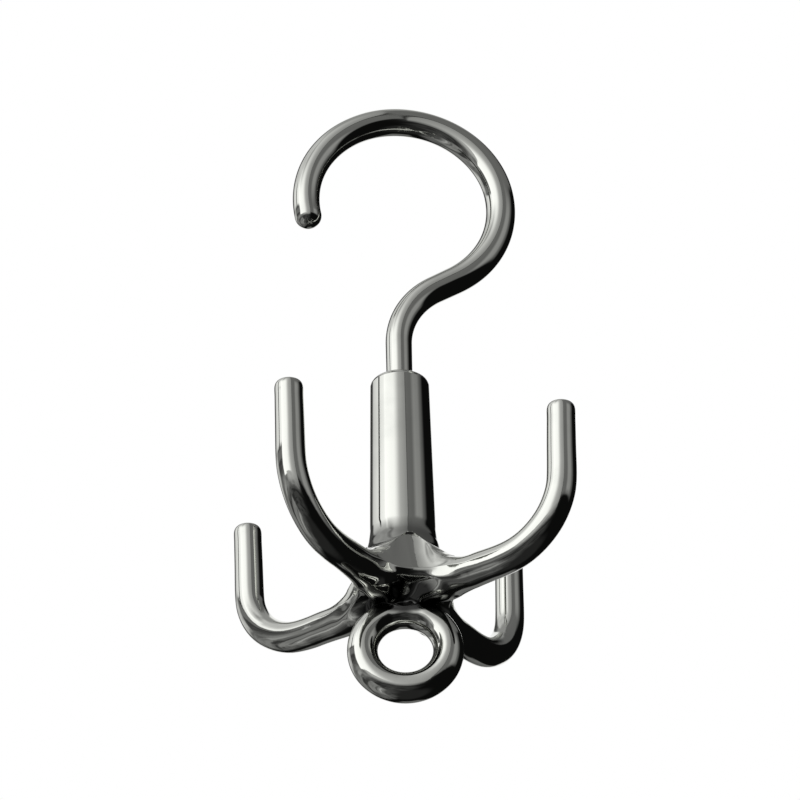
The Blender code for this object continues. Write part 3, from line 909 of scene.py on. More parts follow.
    def store_lay(self, mesh: bpy.types.Mesh, rows: np.ndarray, angle: np.ndarray) -> None:
        """Store each point's place on the straightened rod, for hairlines that follow it.

        Args:
            mesh: the rod's mesh, whose first points are the grid's.
            rows: the grid's rows (x, z, heading, radius).
            angle: the grid's angles round the rod.
        """
        steps = np.linalg.norm(np.diff(rows[:, :2], axis=0), axis=1)
        travel = np.concatenate([[0.0], np.cumsum(steps)])[:, None]
        flat = np.broadcast_to(travel, (len(rows), len(angle)))
        lay = np.stack([rows[:, 3:] * np.cos(angle), rows[:, 3:] * np.sin(angle), flat], axis=-1)
        ends = np.array([[0.0, 0.0, 0.0], [0.0, 0.0, travel[-1, 0]]])
        values = np.vstack([lay.reshape(-1, 3), ends]) * MM
        attribute = mesh.attributes.new("lay", "FLOAT_VECTOR", "POINT")
        attribute.data.foreach_set("vector", values.astype(np.float32).ravel())

    def build(self) -> bpy.types.Object:
        """Make the rod and dress it.

        Returns:
            The rod.
        """
        mesh = self.mesh()
        mesh.set_sharp_from_angle(angle=math.radians(self.sharp_angle))
        finish = PolishedChrome(grain=(1.0, 1.0, 0.05), along="lay", wave_height=0.5)
        return add_piece(mesh, finish, Body.HOOK, "rail_hook")


# Claw casting


@dataclass(frozen=True)
class ClawCasting:
    """Sleeve, hub, four claws and ring, cast in one and drawn as a cage that is subdivided.

    Rows of points run round the casting in 24 columns. Every sixth one is the middle of a web, and
    from there to the next web come a flank of the hollow, a claw's edge, the claw's middle, its
    other edge and the next hollow's flank. Heights are from the claws' centre.

    The crease above the hollows, which is sharpened by the ridge and carries the bead, and the
    rows of the sleeve's foot that carry painted shade are numbers of rows, counted from the
    bore's inner end.
    """

    stack: SwivelStack
    sleeve_height: float = 60.6
    sleeve_top_radius: float = 7.17
    sleeve_foot_radius: float = 8.0
    sleeve_edge: float = 1.35
    bore_chamfer: float = 0.3
    bore_cone: float = 2.0
    tail_room: float = 1.5
    foot_flare: float = 0.66
    foot_height: float = 12.4
    sweep_power: float = 1.45
    fillet: tuple[float, float] = (1.5, 0.3)
    swell: tuple[float, float, float] = (0.5, 6.2, 3.0)
    lip_radius: float = 12.1
    lip_thickness: float = 1.2
    claw_half_width: float = 4.5
    hollow_radius: float = 10.0
    hub_reach: float = 17.5
    claw_reach: float = 46.0
    claw_rise: float = 36.6
    claw_bend_radius: float = 17.4
    claw_lean: float = 1.7
    claw_start: float = 1.2
    claw_root_radius: float = 4.0
    claw_root_widening: tuple[float, float] = (1.08, 1.02)
    claw_tip_radius: float = 3.38
    claw_tip_edge: float = 1.6
    claw_taper_power: float = 0.8
    ring_drop: float = 14.7
    ring_radius: float = 10.12
    ring_bar_radius: float = 3.65
    ring_bar_half_depth: float = 3.85
    ring_turn: float = -10.0
    columns: int = 24
    claw_sides: int = 12
    ring_segments: int = 36
    ring_sides: int = 12
    root_half_length: int = 3
    root_half_width: int = 3
    # Place and size of the pocket under the hub where shade is painted into the casting's colour.
    pocket_drop: float = 2.6
    pocket_reach: tuple[float, float] = (12.2, 4.0)
    settle_rounds: int = 8
    levels: int = 2
    ridge: float = 0.45
    ridge_rows: int = 9
    crease_row: int = 22
    bead: float = 0.12
    # Painted shade in the concave crease at the sleeve's foot: its first row and the share for each
    # row.
    foot_shade_row: int = 18
    foot_shade: tuple[float, ...] = (0.45, 0.9, 1.0, 0.9, 0.3)
    ripple_height: float = 22.0

    @property
    def level(self) -> float:
        """Height of the claws' centre in the part."""
        return self.stack.mouth - self.sleeve_height

    @property
    def turns(self) -> np.ndarray:
        """Angle of each column about the axis."""
        return TURN * np.arange(self.columns) / self.columns

    def web_radius(self, height: float) -> float:
        """How far out the hollow between two claws is at a height, in its middle.

        From the sleeve's flare to the lip it goes out as 0.65 fall + 0.35 fall squared, where the
        fall is 0 at the crease and 1 at the lip.

        Args:
            height: height from the claws' centre.

        Returns:
            Distance from the axis.
        """
        top = self.sleeve_foot_radius + self.foot_flare
        fall = (self.foot_height - height) / (self.foot_height - 0.5 * self.lip_thickness)
        return top + (self.lip_radius - top) * (0.65 * fall + 0.35 * fall ** 2)

    def claw_top(self, radius: float) -> float:
        """Height of the flared skin that runs from the sleeve's foot out on top of a claw.

        A sweep of (1 - share) to a power down to the claw, plus a fillet (height, length) that
        dies away exponentially from the sleeve's wall, plus a swell (height, place, length) on
        the claw's root: height times exp(-((out - place) / length) squared).

        Args:
            radius: distance from the axis.

        Returns:
            Height from the claws' centre.
        """
        out = radius - self.sleeve_foot_radius
        share = out / (self.hub_reach - self.sleeve_foot_radius)
        drop = self.foot_height - self.claw_root_radius
        sweep = drop * max(1.0 - share, 0.0) ** self.sweep_power
        fillet = self.fillet[0] * math.exp(-out / self.fillet[1])
        height, place, length = self.swell
        swell = height * math.exp(-((out - place) / length) ** 2)
        return self.claw_root_radius + sweep + fillet + swell

    def hollow(self, height: float, turn: float) -> tuple[float, float, float]:
        """A point (radius, degrees from the web, height) on the hollow between two claws.

        At every height the hollow is an arc that touches both claws: with the web's radius w and
        the claw's half width s its radius is (w / root 2 - s) / (1 - 1 / root 2). Where the claws
        are too close for it, near the crease, the arc keeps its least radius.

        Args:
            height: height of the point.
            turn: degrees along the arc from the web's middle.

        Returns:
            The point in the hub's own measure.
        """
        near = self.web_radius(height)
        half = math.sqrt(0.5)
        radius = max((near * half - self.claw_half_width) / (1.0 - half), self.hollow_radius)
        angle = math.radians(turn)
        x = near + radius * (1.0 - math.cos(angle))
        y = radius * math.sin(angle)
        return math.hypot(x, y), math.degrees(math.atan2(y, x)), height

    @staticmethod
    def beside_claw(reach: float, side: float, height: float) -> tuple[float, float, float]:
        """A point (radius, degrees from the web, height) by its place along and beside a claw."""
        return math.hypot(reach, side), 45.0 - math.degrees(math.atan2(side, reach)), height

    def row(self, web: tuple, flank: tuple, edge: tuple, claw: tuple) -> np.ndarray:
        """One row of points round the hub.

        Args:
            web: (radius, height) in the middle between two claws.
            flank: (radius, degrees from the web, height) on the hollow's side.
            edge: the same along a claw's side.
            claw: (radius, height) on a claw's middle.

        Returns:
            Points for every column, in millimetres.
        """
        radius = np.array([web[0], flank[0], edge[0], claw[0], edge[0], flank[0]] * 4)
        turn = np.array([0.0, flank[1], edge[1], 45.0, 90.0 - edge[1], 90.0 - flank[1]] * 4)
        turn = np.radians(turn + np.repeat(np.arange(4) * 90.0, 6))
        height = np.array([web[1], flank[2], edge[2], claw[1], edge[2], flank[2]] * 4)
        return np.stack([radius * np.cos(turn), radius * np.sin(turn), height], axis=-1)

    def round_row(self, radius: float, height: float) -> np.ndarray:
        """A row at one radius and height."""
        level = (radius, height)
        return self.row(level, (radius, 15.0, height), (radius, 30.0, height), level)

    def hub_rows(self) -> np.ndarray:
        """Points of the casting's skin by row and column, from its bore's end to its underside.

        Returns:
            Points by row and column; where a claw grows out they aren't numbers.
        """
        foot = self.sleeve_foot_radius
        taper = self.sleeve_top_radius - foot
        barrel = self.sleeve_height - self.foot_height

        def sleeve(height: float) -> tuple[float, float]:
            """Radius and height of a place on the sleeve's tapered wall."""
            return foot + taper * (height - self.foot_height) / barrel, height

        top, edge = self.sleeve_height, self.sleeve_edge
        outer = sleeve(top)[0]
        bore = self.stack.bore_radius
        depth = self.stack.mouth - self.stack.clip_foot + 2.0 * self.stack.fit_gap
        pilot = self.stack.shank_radius + self.stack.fit_gap
        tail = self.stack.mouth - self.stack.shank_foot + self.tail_room
        chamfer = self.bore_chamfer
        inside = [
            (pilot - chamfer, top - tail),
            (pilot, top - tail + chamfer),
            (pilot, top - depth - self.bore_cone),
            (bore, top - depth),
            (bore, top - 0.5 * depth),
            (bore, top - 1.0),
            (bore, top - chamfer),
            (bore + chamfer, top),
        ]
        shoulder = ((1.15, 0.0), (0.62, 0.08), (0.29, 0.29), (0.08, 0.62), (0.0, 1.0))
        inside += [(outer - inwards * edge, top - down * edge) for inwards, down in shoulder]
        inside.append(sleeve(top - 1.8 * edge))
        barrel_rows = [sleeve(self.foot_height + barrel * share) for share in (0.7, 0.4, 0.17)]
        barrel_rows += [sleeve(self.foot_height + 5.4), (foot + 0.11, self.foot_height + 3.6)]
        rows = [self.round_row(*place) for place in inside + barrel_rows]
        return np.array(rows + self.flare_rows() + self.hollow_rows() + self.lip_rows())

    def flare_rows(self) -> list[np.ndarray]:
        """Rows of the sleeve's flared foot, which end just under the crease above the hollows.

        The crease carries a bead: its row is moved out by the bead along (0.8 out, 0.6 up), and
        the rows on both sides of it back by 0.4 of that.

        Returns:
            The rows, from the top down.
        """
        rise = self.foot_height

        def flared(web: tuple, flank: float, turn: float, edge: float, claw: float) -> np.ndarray:
            """A row whose points beside and on the claw lie on top of its root."""
            return self.row(web, (flank, turn, self.claw_top(flank - 0.4)),
                            (edge, 27.0, self.claw_top(edge)), (claw, self.claw_top(claw)))

        rows = [
            self.row((8.36, rise + 2.00), (8.36, 14.0, rise + 1.95), (8.42, 28.5, rise + 1.85),
                     (8.46, rise + 1.85)),
            self.row((8.60, rise + 0.90), (8.62, 13.0, rise + 0.80), (8.74, 27.5, rise + 0.70),
                     (8.84, rise + 0.70)),
            flared((8.82, rise + 0.46), 8.90, 10.5, 9.35, 9.50),
            flared((8.90, rise + 0.16), 9.08, 11.5, 10.45, 10.85),
            flared((8.66, rise - 0.24), 9.16, 13.0, 12.10, 12.80),
        ]
        turn = self.turns
        upwards = np.stack([0.8 * np.cos(turn), 0.8 * np.sin(turn), np.full(len(turn), 0.6)], axis=-1)
        stands = self.bead * self.beside_webs()[:, None] * upwards
        return rows[:2] + [rows[2] - 0.4 * stands, rows[3] + stands, rows[4] - 0.4 * stands]

    def hollow_rows(self) -> list[np.ndarray]:
        """Rows of the hollows between the claws, from the crease down to the lip.

        Returns:
            The rows, from the top down.
        """

        def across(web: float, flank: tuple, edge: tuple, claw: float) -> np.ndarray:
            """A row through the hollow at the web's height and over the claw's top."""
            return self.row((self.web_radius(web), web), self.hollow(*flank),
                            self.beside_claw(*edge), (claw, self.claw_top(claw)))

        return [
            across(12.05, (10.35, 18.3), (11.9, 4.15, 6.85), 13.9),
            across(11.3, (9.6, 18.8), (12.2, 4.35, 6.2), 14.5),
            across(9.4, (7.9, 19.5), (12.7, 4.50, 5.4), 15.1),
            across(6.4, (5.4, 20.0), (13.3, 4.50, 4.6), 15.6),
            across(3.0, (2.7, 19.0), (14.1, 4.35, 3.75), 16.1),
        ]

    def lip_rows(self) -> list[np.ndarray]:
        """Rows of the lip between two claws and of the underside behind it.

        The first three have no point on a claw's middle, where the claw grows out of the hub.

        Returns:
            The rows, from the top down.
        """
        lip = self.lip_radius
        half = 0.5 * self.lip_thickness
        nothing = (np.nan, np.nan)
        side, turn, _ = self.hollow(half, 16.0)
        return [
            self.row((lip - 0.18, half + 0.42), (side - 0.18, turn, half + 0.42),
                     self.beside_claw(14.7, 4.75, 1.6), nothing),
            self.row((lip, half - 0.05), (side, turn, half - 0.05),
                     self.beside_claw(14.7, 4.95, 0.8), nothing),
            self.row((lip - 0.4, 0.3 - half), (side - 0.4, turn, 0.3 - half),
                     self.beside_claw(14.6, 4.8, -0.8), nothing),
            self.row((lip - 1.0, -half - 0.30), (side - 0.95, turn, -half - 0.40),
                     self.beside_claw(14.3, 4.3, -2.4), (15.3, -3.88)),
            self.row((lip - 2.1, -half - 0.15), (side - 2.0, turn, -half - 0.45),
                     self.beside_claw(13.2, 3.8, -3.0), (13.6, -3.90)),
            self.row((lip - 3.8, -half - 0.05), (side - 3.5, turn, -half - 0.75),
                     self.beside_claw(11.6, 3.1, -3.6), (11.6, -4.05)),
        ]

    def ring_grid(self) -> np.ndarray:
        """The ring as a torus with an oval bar: steps along it from the top, sides round it.

        The steps are squeezed near the top, so that the rim where the ring grows out of the hub
        is an oval. With u and v as shares of the rim's half length and half width, kept within
        -1 to 1, a point moves 5 (1 - 2 v v) degrees u along the ring and (8 - 48 u u) degrees v
        round its bar, and both moves die away evenly beyond the rim.

        Returns:
            Points by step and side.
        """
        segments, sides = self.ring_segments, self.ring_sides
        along = (np.arange(segments)[:, None] + segments // 2) % segments - segments // 2
        beside = (np.arange(sides)[None, :] + sides // 2) % sides - sides // 2
        u = np.clip(along / self.root_half_length, -1.0, 1.0)
        v = np.clip(beside / self.root_half_width, -1.0, 1.0)
        past = np.maximum(np.abs(along) - self.root_half_length, 0) / 5.0
        round_past = np.maximum(np.abs(beside) - self.root_half_width, 0)
        fade = np.maximum(1.0 - past, 0.0)
        fade = fade * (1.0 - round_past / (sides // 2 - self.root_half_width))
        turn = TURN * along / segments + np.radians(5.0 * (1.0 - 2.0 * v * v) * u) * fade
        roll = TURN * beside / sides + np.radians((8.0 - 48.0 * u * u) * v) * fade
        out = self.ring_radius + self.ring_bar_radius * np.cos(roll)
        depth = self.ring_bar_half_depth * np.sin(roll)
        grid = np.stack([out * np.sin(turn), depth, out * np.cos(turn) - self.ring_drop], axis=-1)
        return spun(grid, math.radians(self.ring_turn))

    def claw_sections(self) -> np.ndarray:
        """Rows (reach, height, heading, radius, widening) of a claw from the hub to its tip.

        Returns:
            The rows, from the hub outwards.
        """
        end = math.radians(90.0 - self.claw_lean)
        bend_rise = self.claw_bend_radius * (1.0 - math.cos(end))
        lean_out = (self.claw_rise - bend_rise) / math.tan(end)
        bend_start = self.claw_reach - self.claw_bend_radius * math.sin(end) - lean_out
        straight = np.linspace(self.hub_reach + self.claw_start, bend_start, 4)[:-1]
        angle = np.linspace(0.0, end, 7)
        bend_x = bend_start + self.claw_bend_radius * np.sin(angle)
        bend_z = self.claw_bend_radius * (1.0 - np.cos(angle))
        tip = np.array([self.claw_reach, self.claw_rise])
        rise = tip - np.array([bend_x[-1], bend_z[-1]])
        back = np.linalg.norm(rise) * np.array([0.66, 0.33])
        edge = self.claw_tip_edge
        back = np.concatenate([back, [2.3 * edge, edge, 0.29 * edge, 0.0, 0.0]])
        inset = np.array([0.0, 0.0, 0.0, 0.0, 0.29 * edge, edge, 1.8 * edge])
        upright = tip - back[:, None] * rise / np.linalg.norm(rise)
        place = np.vstack([
            np.column_stack([straight, np.zeros(3)]),
            np.column_stack([bend_x, bend_z]),
            upright,
        ])
        heading = np.concatenate([np.zeros(3), angle, np.full(len(back), end)])
        length = np.concatenate([[0.0], np.cumsum(np.linalg.norm(np.diff(place, axis=0), axis=1))])
        share = (length / length[-1]) ** self.claw_taper_power
        radius = self.claw_root_radius + (self.claw_tip_radius - self.claw_root_radius) * share
        radius[-len(inset):] -= inset
        widening = np.ones(len(place))
        widening[:2] = self.claw_root_widening
        return np.column_stack([place, heading, radius, widening])

    def claw_grid(self) -> np.ndarray:
        """One claw pointing along X: circles across its line, starting half a side off the top.

        Returns:
            Points by section and side.
        """
        rows = self.claw_sections()[:, :, None]
        reach, height, heading, radius, widening = (rows[:, part] for part in range(5))
        first = 0.5 * math.pi + TURN / self.claw_sides
        roll = first - TURN * np.arange(self.claw_sides) / self.claw_sides
        side = radius * widening * np.cos(roll)
        up = radius * np.sin(roll)
        return np.stack([reach - up * np.sin(heading), side, height + up * np.cos(heading)], axis=-1)

    def beside_webs(self) -> np.ndarray:
        """1 in a web's middle, less beside it and 0 on the claws, by column."""
        return np.clip(0.6 + np.cos(4.0 * self.turns), 0.0, 1.0)

    def parting_ridge(self, rows: int) -> np.ndarray:
        """How sharp a claw's skin is by row and side: a ridge on both sides, lost in the bend.

        Args:
            rows: sections of the claw.

        Returns:
            Sharpness from 0 to 1.
        """
        sharp = np.zeros((rows, self.claw_sides))
        fade = np.clip(1.0 - np.arange(rows) / self.ridge_rows, 0.0, 1.0) ** 0.5
        sharp[:, self.claw_sides // 3] = self.ridge * fade
        sharp[:, self.claw_sides // 3 + self.claw_sides // 2] = self.ridge * fade
        return sharp

    def under_rows(self, foot: np.ndarray, rim: np.ndarray, facing: np.ndarray) -> np.ndarray:
        """Rows of the underside, each a share of the way from the hub's last row to the ring.

        Heights go as the share to the power 1.9. Before and behind the ring the rows are sunk
        towards the axis and lifted, which scoops the pocket there.

        Args:
            foot: the hub's last row.
            rim: the loop where the ring grows out of the hub.
            facing: 1 in the middle of the rim's long sides and 0 towards its ends, by column.

        Returns:
            Three rows of points.
        """
        outward = foot * (1.0, 1.0, 0.0)
        outward /= np.linalg.norm(outward, axis=1, keepdims=True)
        share = np.array([0.42, 0.76, 0.94])[:, None, None]
        sink = np.array([0.0, 1.15, 0.30])[:, None, None] * facing[:, None]
        lift = np.array([0.0, 0.35, 0.0])[:, None] * facing
        under = foot + share * (rim - foot) - sink * outward
        under[..., 2] = foot[:, 2] + share[..., 0] ** 1.9 * (rim[:, 2] - foot[:, 2]) + lift
        return under

    def cage(self) -> tuple[np.ndarray, np.ndarray, np.ndarray, np.ndarray]:
        """The whole casting's drawn points and quads.

        Returns:
            Points in millimetres, faces of four numbers each, how sharp each point is and how
            much shade is painted there.
        """
        hub, ring, claw = self.hub_rows(), self.ring_grid(), self.claw_grid()
        ring_ids = np.arange(ring.shape[0] * ring.shape[1]).reshape(ring.shape[:2])
        hub_ids = ring_ids.size + np.arange(hub.shape[0] * self.columns)
        hub_ids = hub_ids.reshape(-1, self.columns)

        along, beside = self.root_steps()
        loop = along % self.ring_segments, beside % self.ring_sides
        squarely = np.abs(beside) == self.root_half_width
        facing = squarely * (1.0 - (along / self.root_half_length) ** 2)
        under = self.under_rows(hub[-1], ring[loop], facing)
        under_ids = hub_ids.max() + 1 + np.arange(3 * self.columns).reshape(3, -1)

        skin = grid_faces(np.vstack([hub_ids, under_ids, ring_ids[loop]]))
        gone = hub_ids[np.isnan(hub[..., 0])]
        skin = skin[~np.isin(skin, gone).any(axis=1)]
        parts = [ring.reshape(-1, 3), hub.reshape(-1, 3), under.reshape(-1, 3)]
        faces = [self.open_ring_faces(ring_ids), skin, lid_faces(hub_ids[0])]

        count = under_ids.max() + 1
        sharp = np.zeros(count + 4 * claw[..., 0].size)
        sharp[hub_ids[self.crease_row]] = self.ridge * self.beside_webs()
        first_row = int(np.argmax(np.isnan(hub[:, self.columns // 8, 0]))) - 1
        for column in range(self.columns // 8, self.columns, self.columns // 4):
            ids = count + np.arange(claw[..., 0].size).reshape(claw.shape[:2])
            count = ids.max() + 1
            mouth = self.claw_mouth(hub_ids, first_row, column)
            sharp[mouth[self.claw_sides // 3::self.claw_sides // 2]] = self.ridge
            sharp[ids] = self.parting_ridge(len(claw))
            parts.append(spun(claw.reshape(-1, 3), self.turns[column]))
            faces += [grid_faces(np.vstack([mouth, ids])), lid_faces(ids[-1])]

        # Share of painted shade on the rows of the sleeve's foot.
        painted_shade = np.zeros(count)
        painted_shade[hub_ids[self.foot_shade_row:self.foot_shade_row + len(self.foot_shade)]] = np.array(self.foot_shade)[:, None]
        kept, quads = np.unique(np.vstack(faces), return_inverse=True)
        return np.vstack(parts)[kept], quads.reshape(-1, 4), sharp[kept], painted_shade[kept]

    def open_ring_faces(self, ids: np.ndarray) -> np.ndarray:
        """The ring's quads, less those where it grows out of the hub's underside.

        Args:
            ids: the ring's vertex numbers by step and side.

        Returns:
            Faces of four numbers each.
        """
        closed = np.hstack([ids, ids[:, :1]])
        closed = np.vstack([closed, closed[:1]])
        quads = grid_faces(closed, around=False).reshape(self.ring_segments, self.ring_sides, 4)
        length, width = self.root_half_length, self.root_half_width
        near_top = (np.arange(self.ring_segments) + length) % self.ring_segments < 2 * length
        outward = (np.arange(self.ring_sides) + width) % self.ring_sides < 2 * width
        return quads[~(near_top[:, None] & outward[None, :])]

    def root_steps(self) -> tuple[np.ndarray, np.ndarray]:
        """Steps along and round the ring of the loop where it grows out of the hub, by column.

        Returns:
            Steps along the ring and steps round its bar.
        """
        half = self.columns // 2
        place = (np.arange(self.columns) + half) % self.columns - half
        away = np.abs(place)
        along = np.clip(half // 2 - away, -self.root_half_length, self.root_half_length)
        beside = np.sign(place) * np.minimum(np.minimum(away, half - away), self.root_half_width)
        return along, beside

    @staticmethod
    def claw_mouth(ids: np.ndarray, row: int, column: int) -> np.ndarray:
        """Vertices round a claw's opening in the hub, in the order of a claw's own sides.

        Args:
            ids: the hub's vertex numbers by row and column.
            row: the opening's uppermost row.
            column: the column of the claw's middle.

        Returns:
            Twelve vertex numbers.
        """
        before, after = column - 1, column + 1
        top, upper, middle, lower, low = ids[row:row + 5]
        return np.array([
            top[before], top[column], top[after], upper[after], middle[after], lower[after],
            low[after], low[column], low[before], lower[before], middle[before], upper[before],
        ])

    @staticmethod
    def limit_points(points: np.ndarray, quads: np.ndarray) -> np.ndarray:
        """Where each control point ends up when the cage is subdivided without end.

        (n n P + 4 sum of its edge neighbours + sum of its opposite corners) / (n (n + 5)), for a
        point P with n quads round it.

        Args:
            points: the control points.
            quads: faces of four numbers each.

        Returns:
            The places on the limit surface.
        """
        total = np.zeros_like(points)
        count = np.zeros(len(points))
        for turn in range(4):
            corner, after, across, before = np.roll(quads, -turn, axis=1).T
            np.add.at(total, corner, 2.0 * (points[after] + points[before]) + points[across])
            np.add.at(count, corner, 1.0)
        count = count[:, None]
        return (count * count * points + total) / (count * (count + 5.0))

    def mesh(self) -> bpy.types.Mesh:
        """The cage, moved out until its smooth surface passes through the drawn points.

        Returns:
            The casting's control mesh.
        """
        drawn, quads, sharp, painted_shade = self.cage()
        control = drawn.copy()
        for _ in range(self.settle_rounds):
            control += drawn - self.limit_points(control, quads)
        control[:, 2] += self.level
        mesh = make_mesh("claw_casting", control, quads.tolist())
        ends = np.empty(2 * len(mesh.edges), dtype=np.int32)
        mesh.edges.foreach_get("vertices", ends)
        crease = mesh.attributes.new("crease_edge", "FLOAT", "EDGE")
        crease.data.foreach_set("value", sharp[ends.reshape(-1, 2)].min(axis=1))
        # Each point's share of painted shade, which the finish reads.
        mesh.attributes.new("foot_shade_paint", "FLOAT", "POINT").data.foreach_set("value", painted_shade)
        return mesh

    def build(self) -> bpy.types.Object:
        """Make the casting, subdivide it and dress it.

        Returns:
            The casting.
        """
        # The finish paints shade into the pocket under the hub and into the sleeve's foot.
        finish = PolishedChrome(
            grain=(1.0, 1.0, 0.25),
            ripple_height=self.ripple_height,
            recess_height=self.level - self.pocket_drop,
            recess_reach=self.pocket_reach,
            foot_shade="foot_shade_paint",
        )
        piece = add_piece(self.mesh(), finish, Body.CASTING, "claw_body")
        smooth = piece.modifiers.new("casting", "SUBSURF")
        smooth.levels = self.levels
        smooth.render_levels = self.levels
        return piece


# Fittings inside the sleeve


@dataclass(frozen=True)
class SwivelFittings:
    """Mouth bush, thrust washer and retaining ring."""

    stack: SwivelStack
    bush_edge: float = 0.5
    clip_width: float = 1.9
    clip_opening: float = 70.0
    clip_steps: int = 90
    clip_sides: int = 24

    def bush(self) -> bpy.types.Mesh:
        """The bush pressed into the mouth, with chamfered ends and a lead-in for the shank.

        Returns:
            The bush's mesh.
        """
        stack, edge = self.stack, self.bush_edge
        outer = stack.bore_radius - stack.fit_gap
        inner = stack.shank_radius + stack.fit_gap
        corners = [
            (outer - edge, stack.bush_top, 0.12), (outer, stack.bush_top - edge, 0.12),
            (outer, stack.bush_foot + edge, 0.12), (outer - edge, stack.bush_foot, 0.12),
            (inner, stack.bush_foot, 0.08),
            (inner, stack.bush_top - 0.5 * edge, 0.08), (inner + 0.5 * edge, stack.bush_top, 0.08),
        ]
        return turned_mesh("mouth_bush_turned", rounded_profile(corners))

    def washer(self) -> bpy.types.Mesh:
        """The flat washer that carries the load, with moulded edges.

        Returns:
            The washer's mesh.
        """
        stack = self.stack
        outer = stack.bore_radius - 2.0 * stack.fit_gap
        inner = stack.shank_radius + stack.fit_gap
        corners = [
            (outer, stack.washer_top, 0.2), (outer, stack.washer_foot, 0.2),
            (inner, stack.washer_foot, 0.15), (inner, stack.washer_top, 0.15),
        ]
        return turned_mesh("thrust_washer_moulded", rounded_profile(corners))

    def clip(self) -> bpy.types.Mesh:
        """The open spring ring: a rounded flat section carried round the groove.

        The section is a superellipse: |cos| to the power 0.5 across and |sin| to the power 0.35
        up. Towards both ends it shrinks as the square root of 1 - e squared, where e grows from 0
        to 1 over half the band's width, so the ends are round.

        Returns:
            The spring ring's mesh.
        """
        stack = self.stack
        half = 0.5 * self.clip_width
        middle = stack.shank_radius - stack.groove_depth + stack.fit_gap + half
        half_open = math.radians(0.5 * self.clip_opening)
        sweep = TURN - 2.0 * half_open
        cap = half / middle
        start = cap * (1.0 - np.cos(np.linspace(0.0, math.pi / 2.0, 9))[:-1])
        along = np.linspace(0.0, sweep, self.clip_steps)
        angle = np.concatenate([start - cap, along, sweep + cap - start[::-1]])
        beyond = np.maximum(-angle, angle - sweep).clip(0.0) / cap
        shrink = np.sqrt(1.0 - beyond.clip(0.0, 0.999) ** 2)
        roll = TURN * np.arange(self.clip_sides) / self.clip_sides
        across = np.sign(np.cos(roll)) * np.abs(np.cos(roll)) ** 0.5
        rise = np.sign(np.sin(roll)) * np.abs(np.sin(roll)) ** 0.35
        radius = middle + half * shrink[:, None] * across
        turn = (half_open + angle)[:, None]
        height = 0.5 * (stack.clip_top + stack.clip_foot)
        lift = 0.5 * (stack.clip_top - stack.clip_foot) * rise
        flat = np.broadcast_to(height + lift, radius.shape)
        grid = np.stack([radius * np.cos(turn), radius * np.sin(turn), flat], axis=-1)
        ids = np.arange(radius.size).reshape(radius.shape)
        faces = np.vstack([grid_faces(ids), lid_faces(ids[0]), lid_faces(ids[-1][::-1])])
        return make_mesh("retaining_ring_spring", grid.reshape(-1, 3), faces.tolist())

    def build(self) -> list[bpy.types.Object]:
        """Make the three fittings and dress them.

        Returns:
            Bush, washer and spring ring.
        """
        turned = TurnedMetal((0.62, 0.60, 0.57), (0.42, 0.39, 0.35), 0.24)
        spring = TurnedMetal((0.30, 0.31, 0.34), (0.20, 0.19, 0.19), 0.33, groove_height=0.3)
        return [
            add_piece(self.bush(), turned, Body.CASTING, "mouth_bush"),
            add_piece(self.washer(), MouldedNylon(), Body.HOOK, "thrust_washer"),
            add_piece(self.clip(), spring, Body.HOOK, "retaining_ring"),
        ]


# Studio


@dataclass(frozen=True)
class Panel:
    """One panel of the light tent: a patch of a sphere round the part, seen in reflections.

    Azimuths are as the camera counts them, in degrees: 0 is towards -Y and 90 towards +X. The glow
    runs from its left edge to its right, and fades out over the degrees given for each edge. Level
    streaks let what lies behind show through, none at 0 and fully at 1.
    """

    name: str
    azimuth: tuple[float, float]
    elevation: tuple[float, float]
    glow: tuple[float, float]
    distance: float
    sides_fade: tuple[float, float] = (10.0, 10.0)
    ends_fade: tuple[float, float] = (8.0, 8.0)
    streaks: float = 0.0


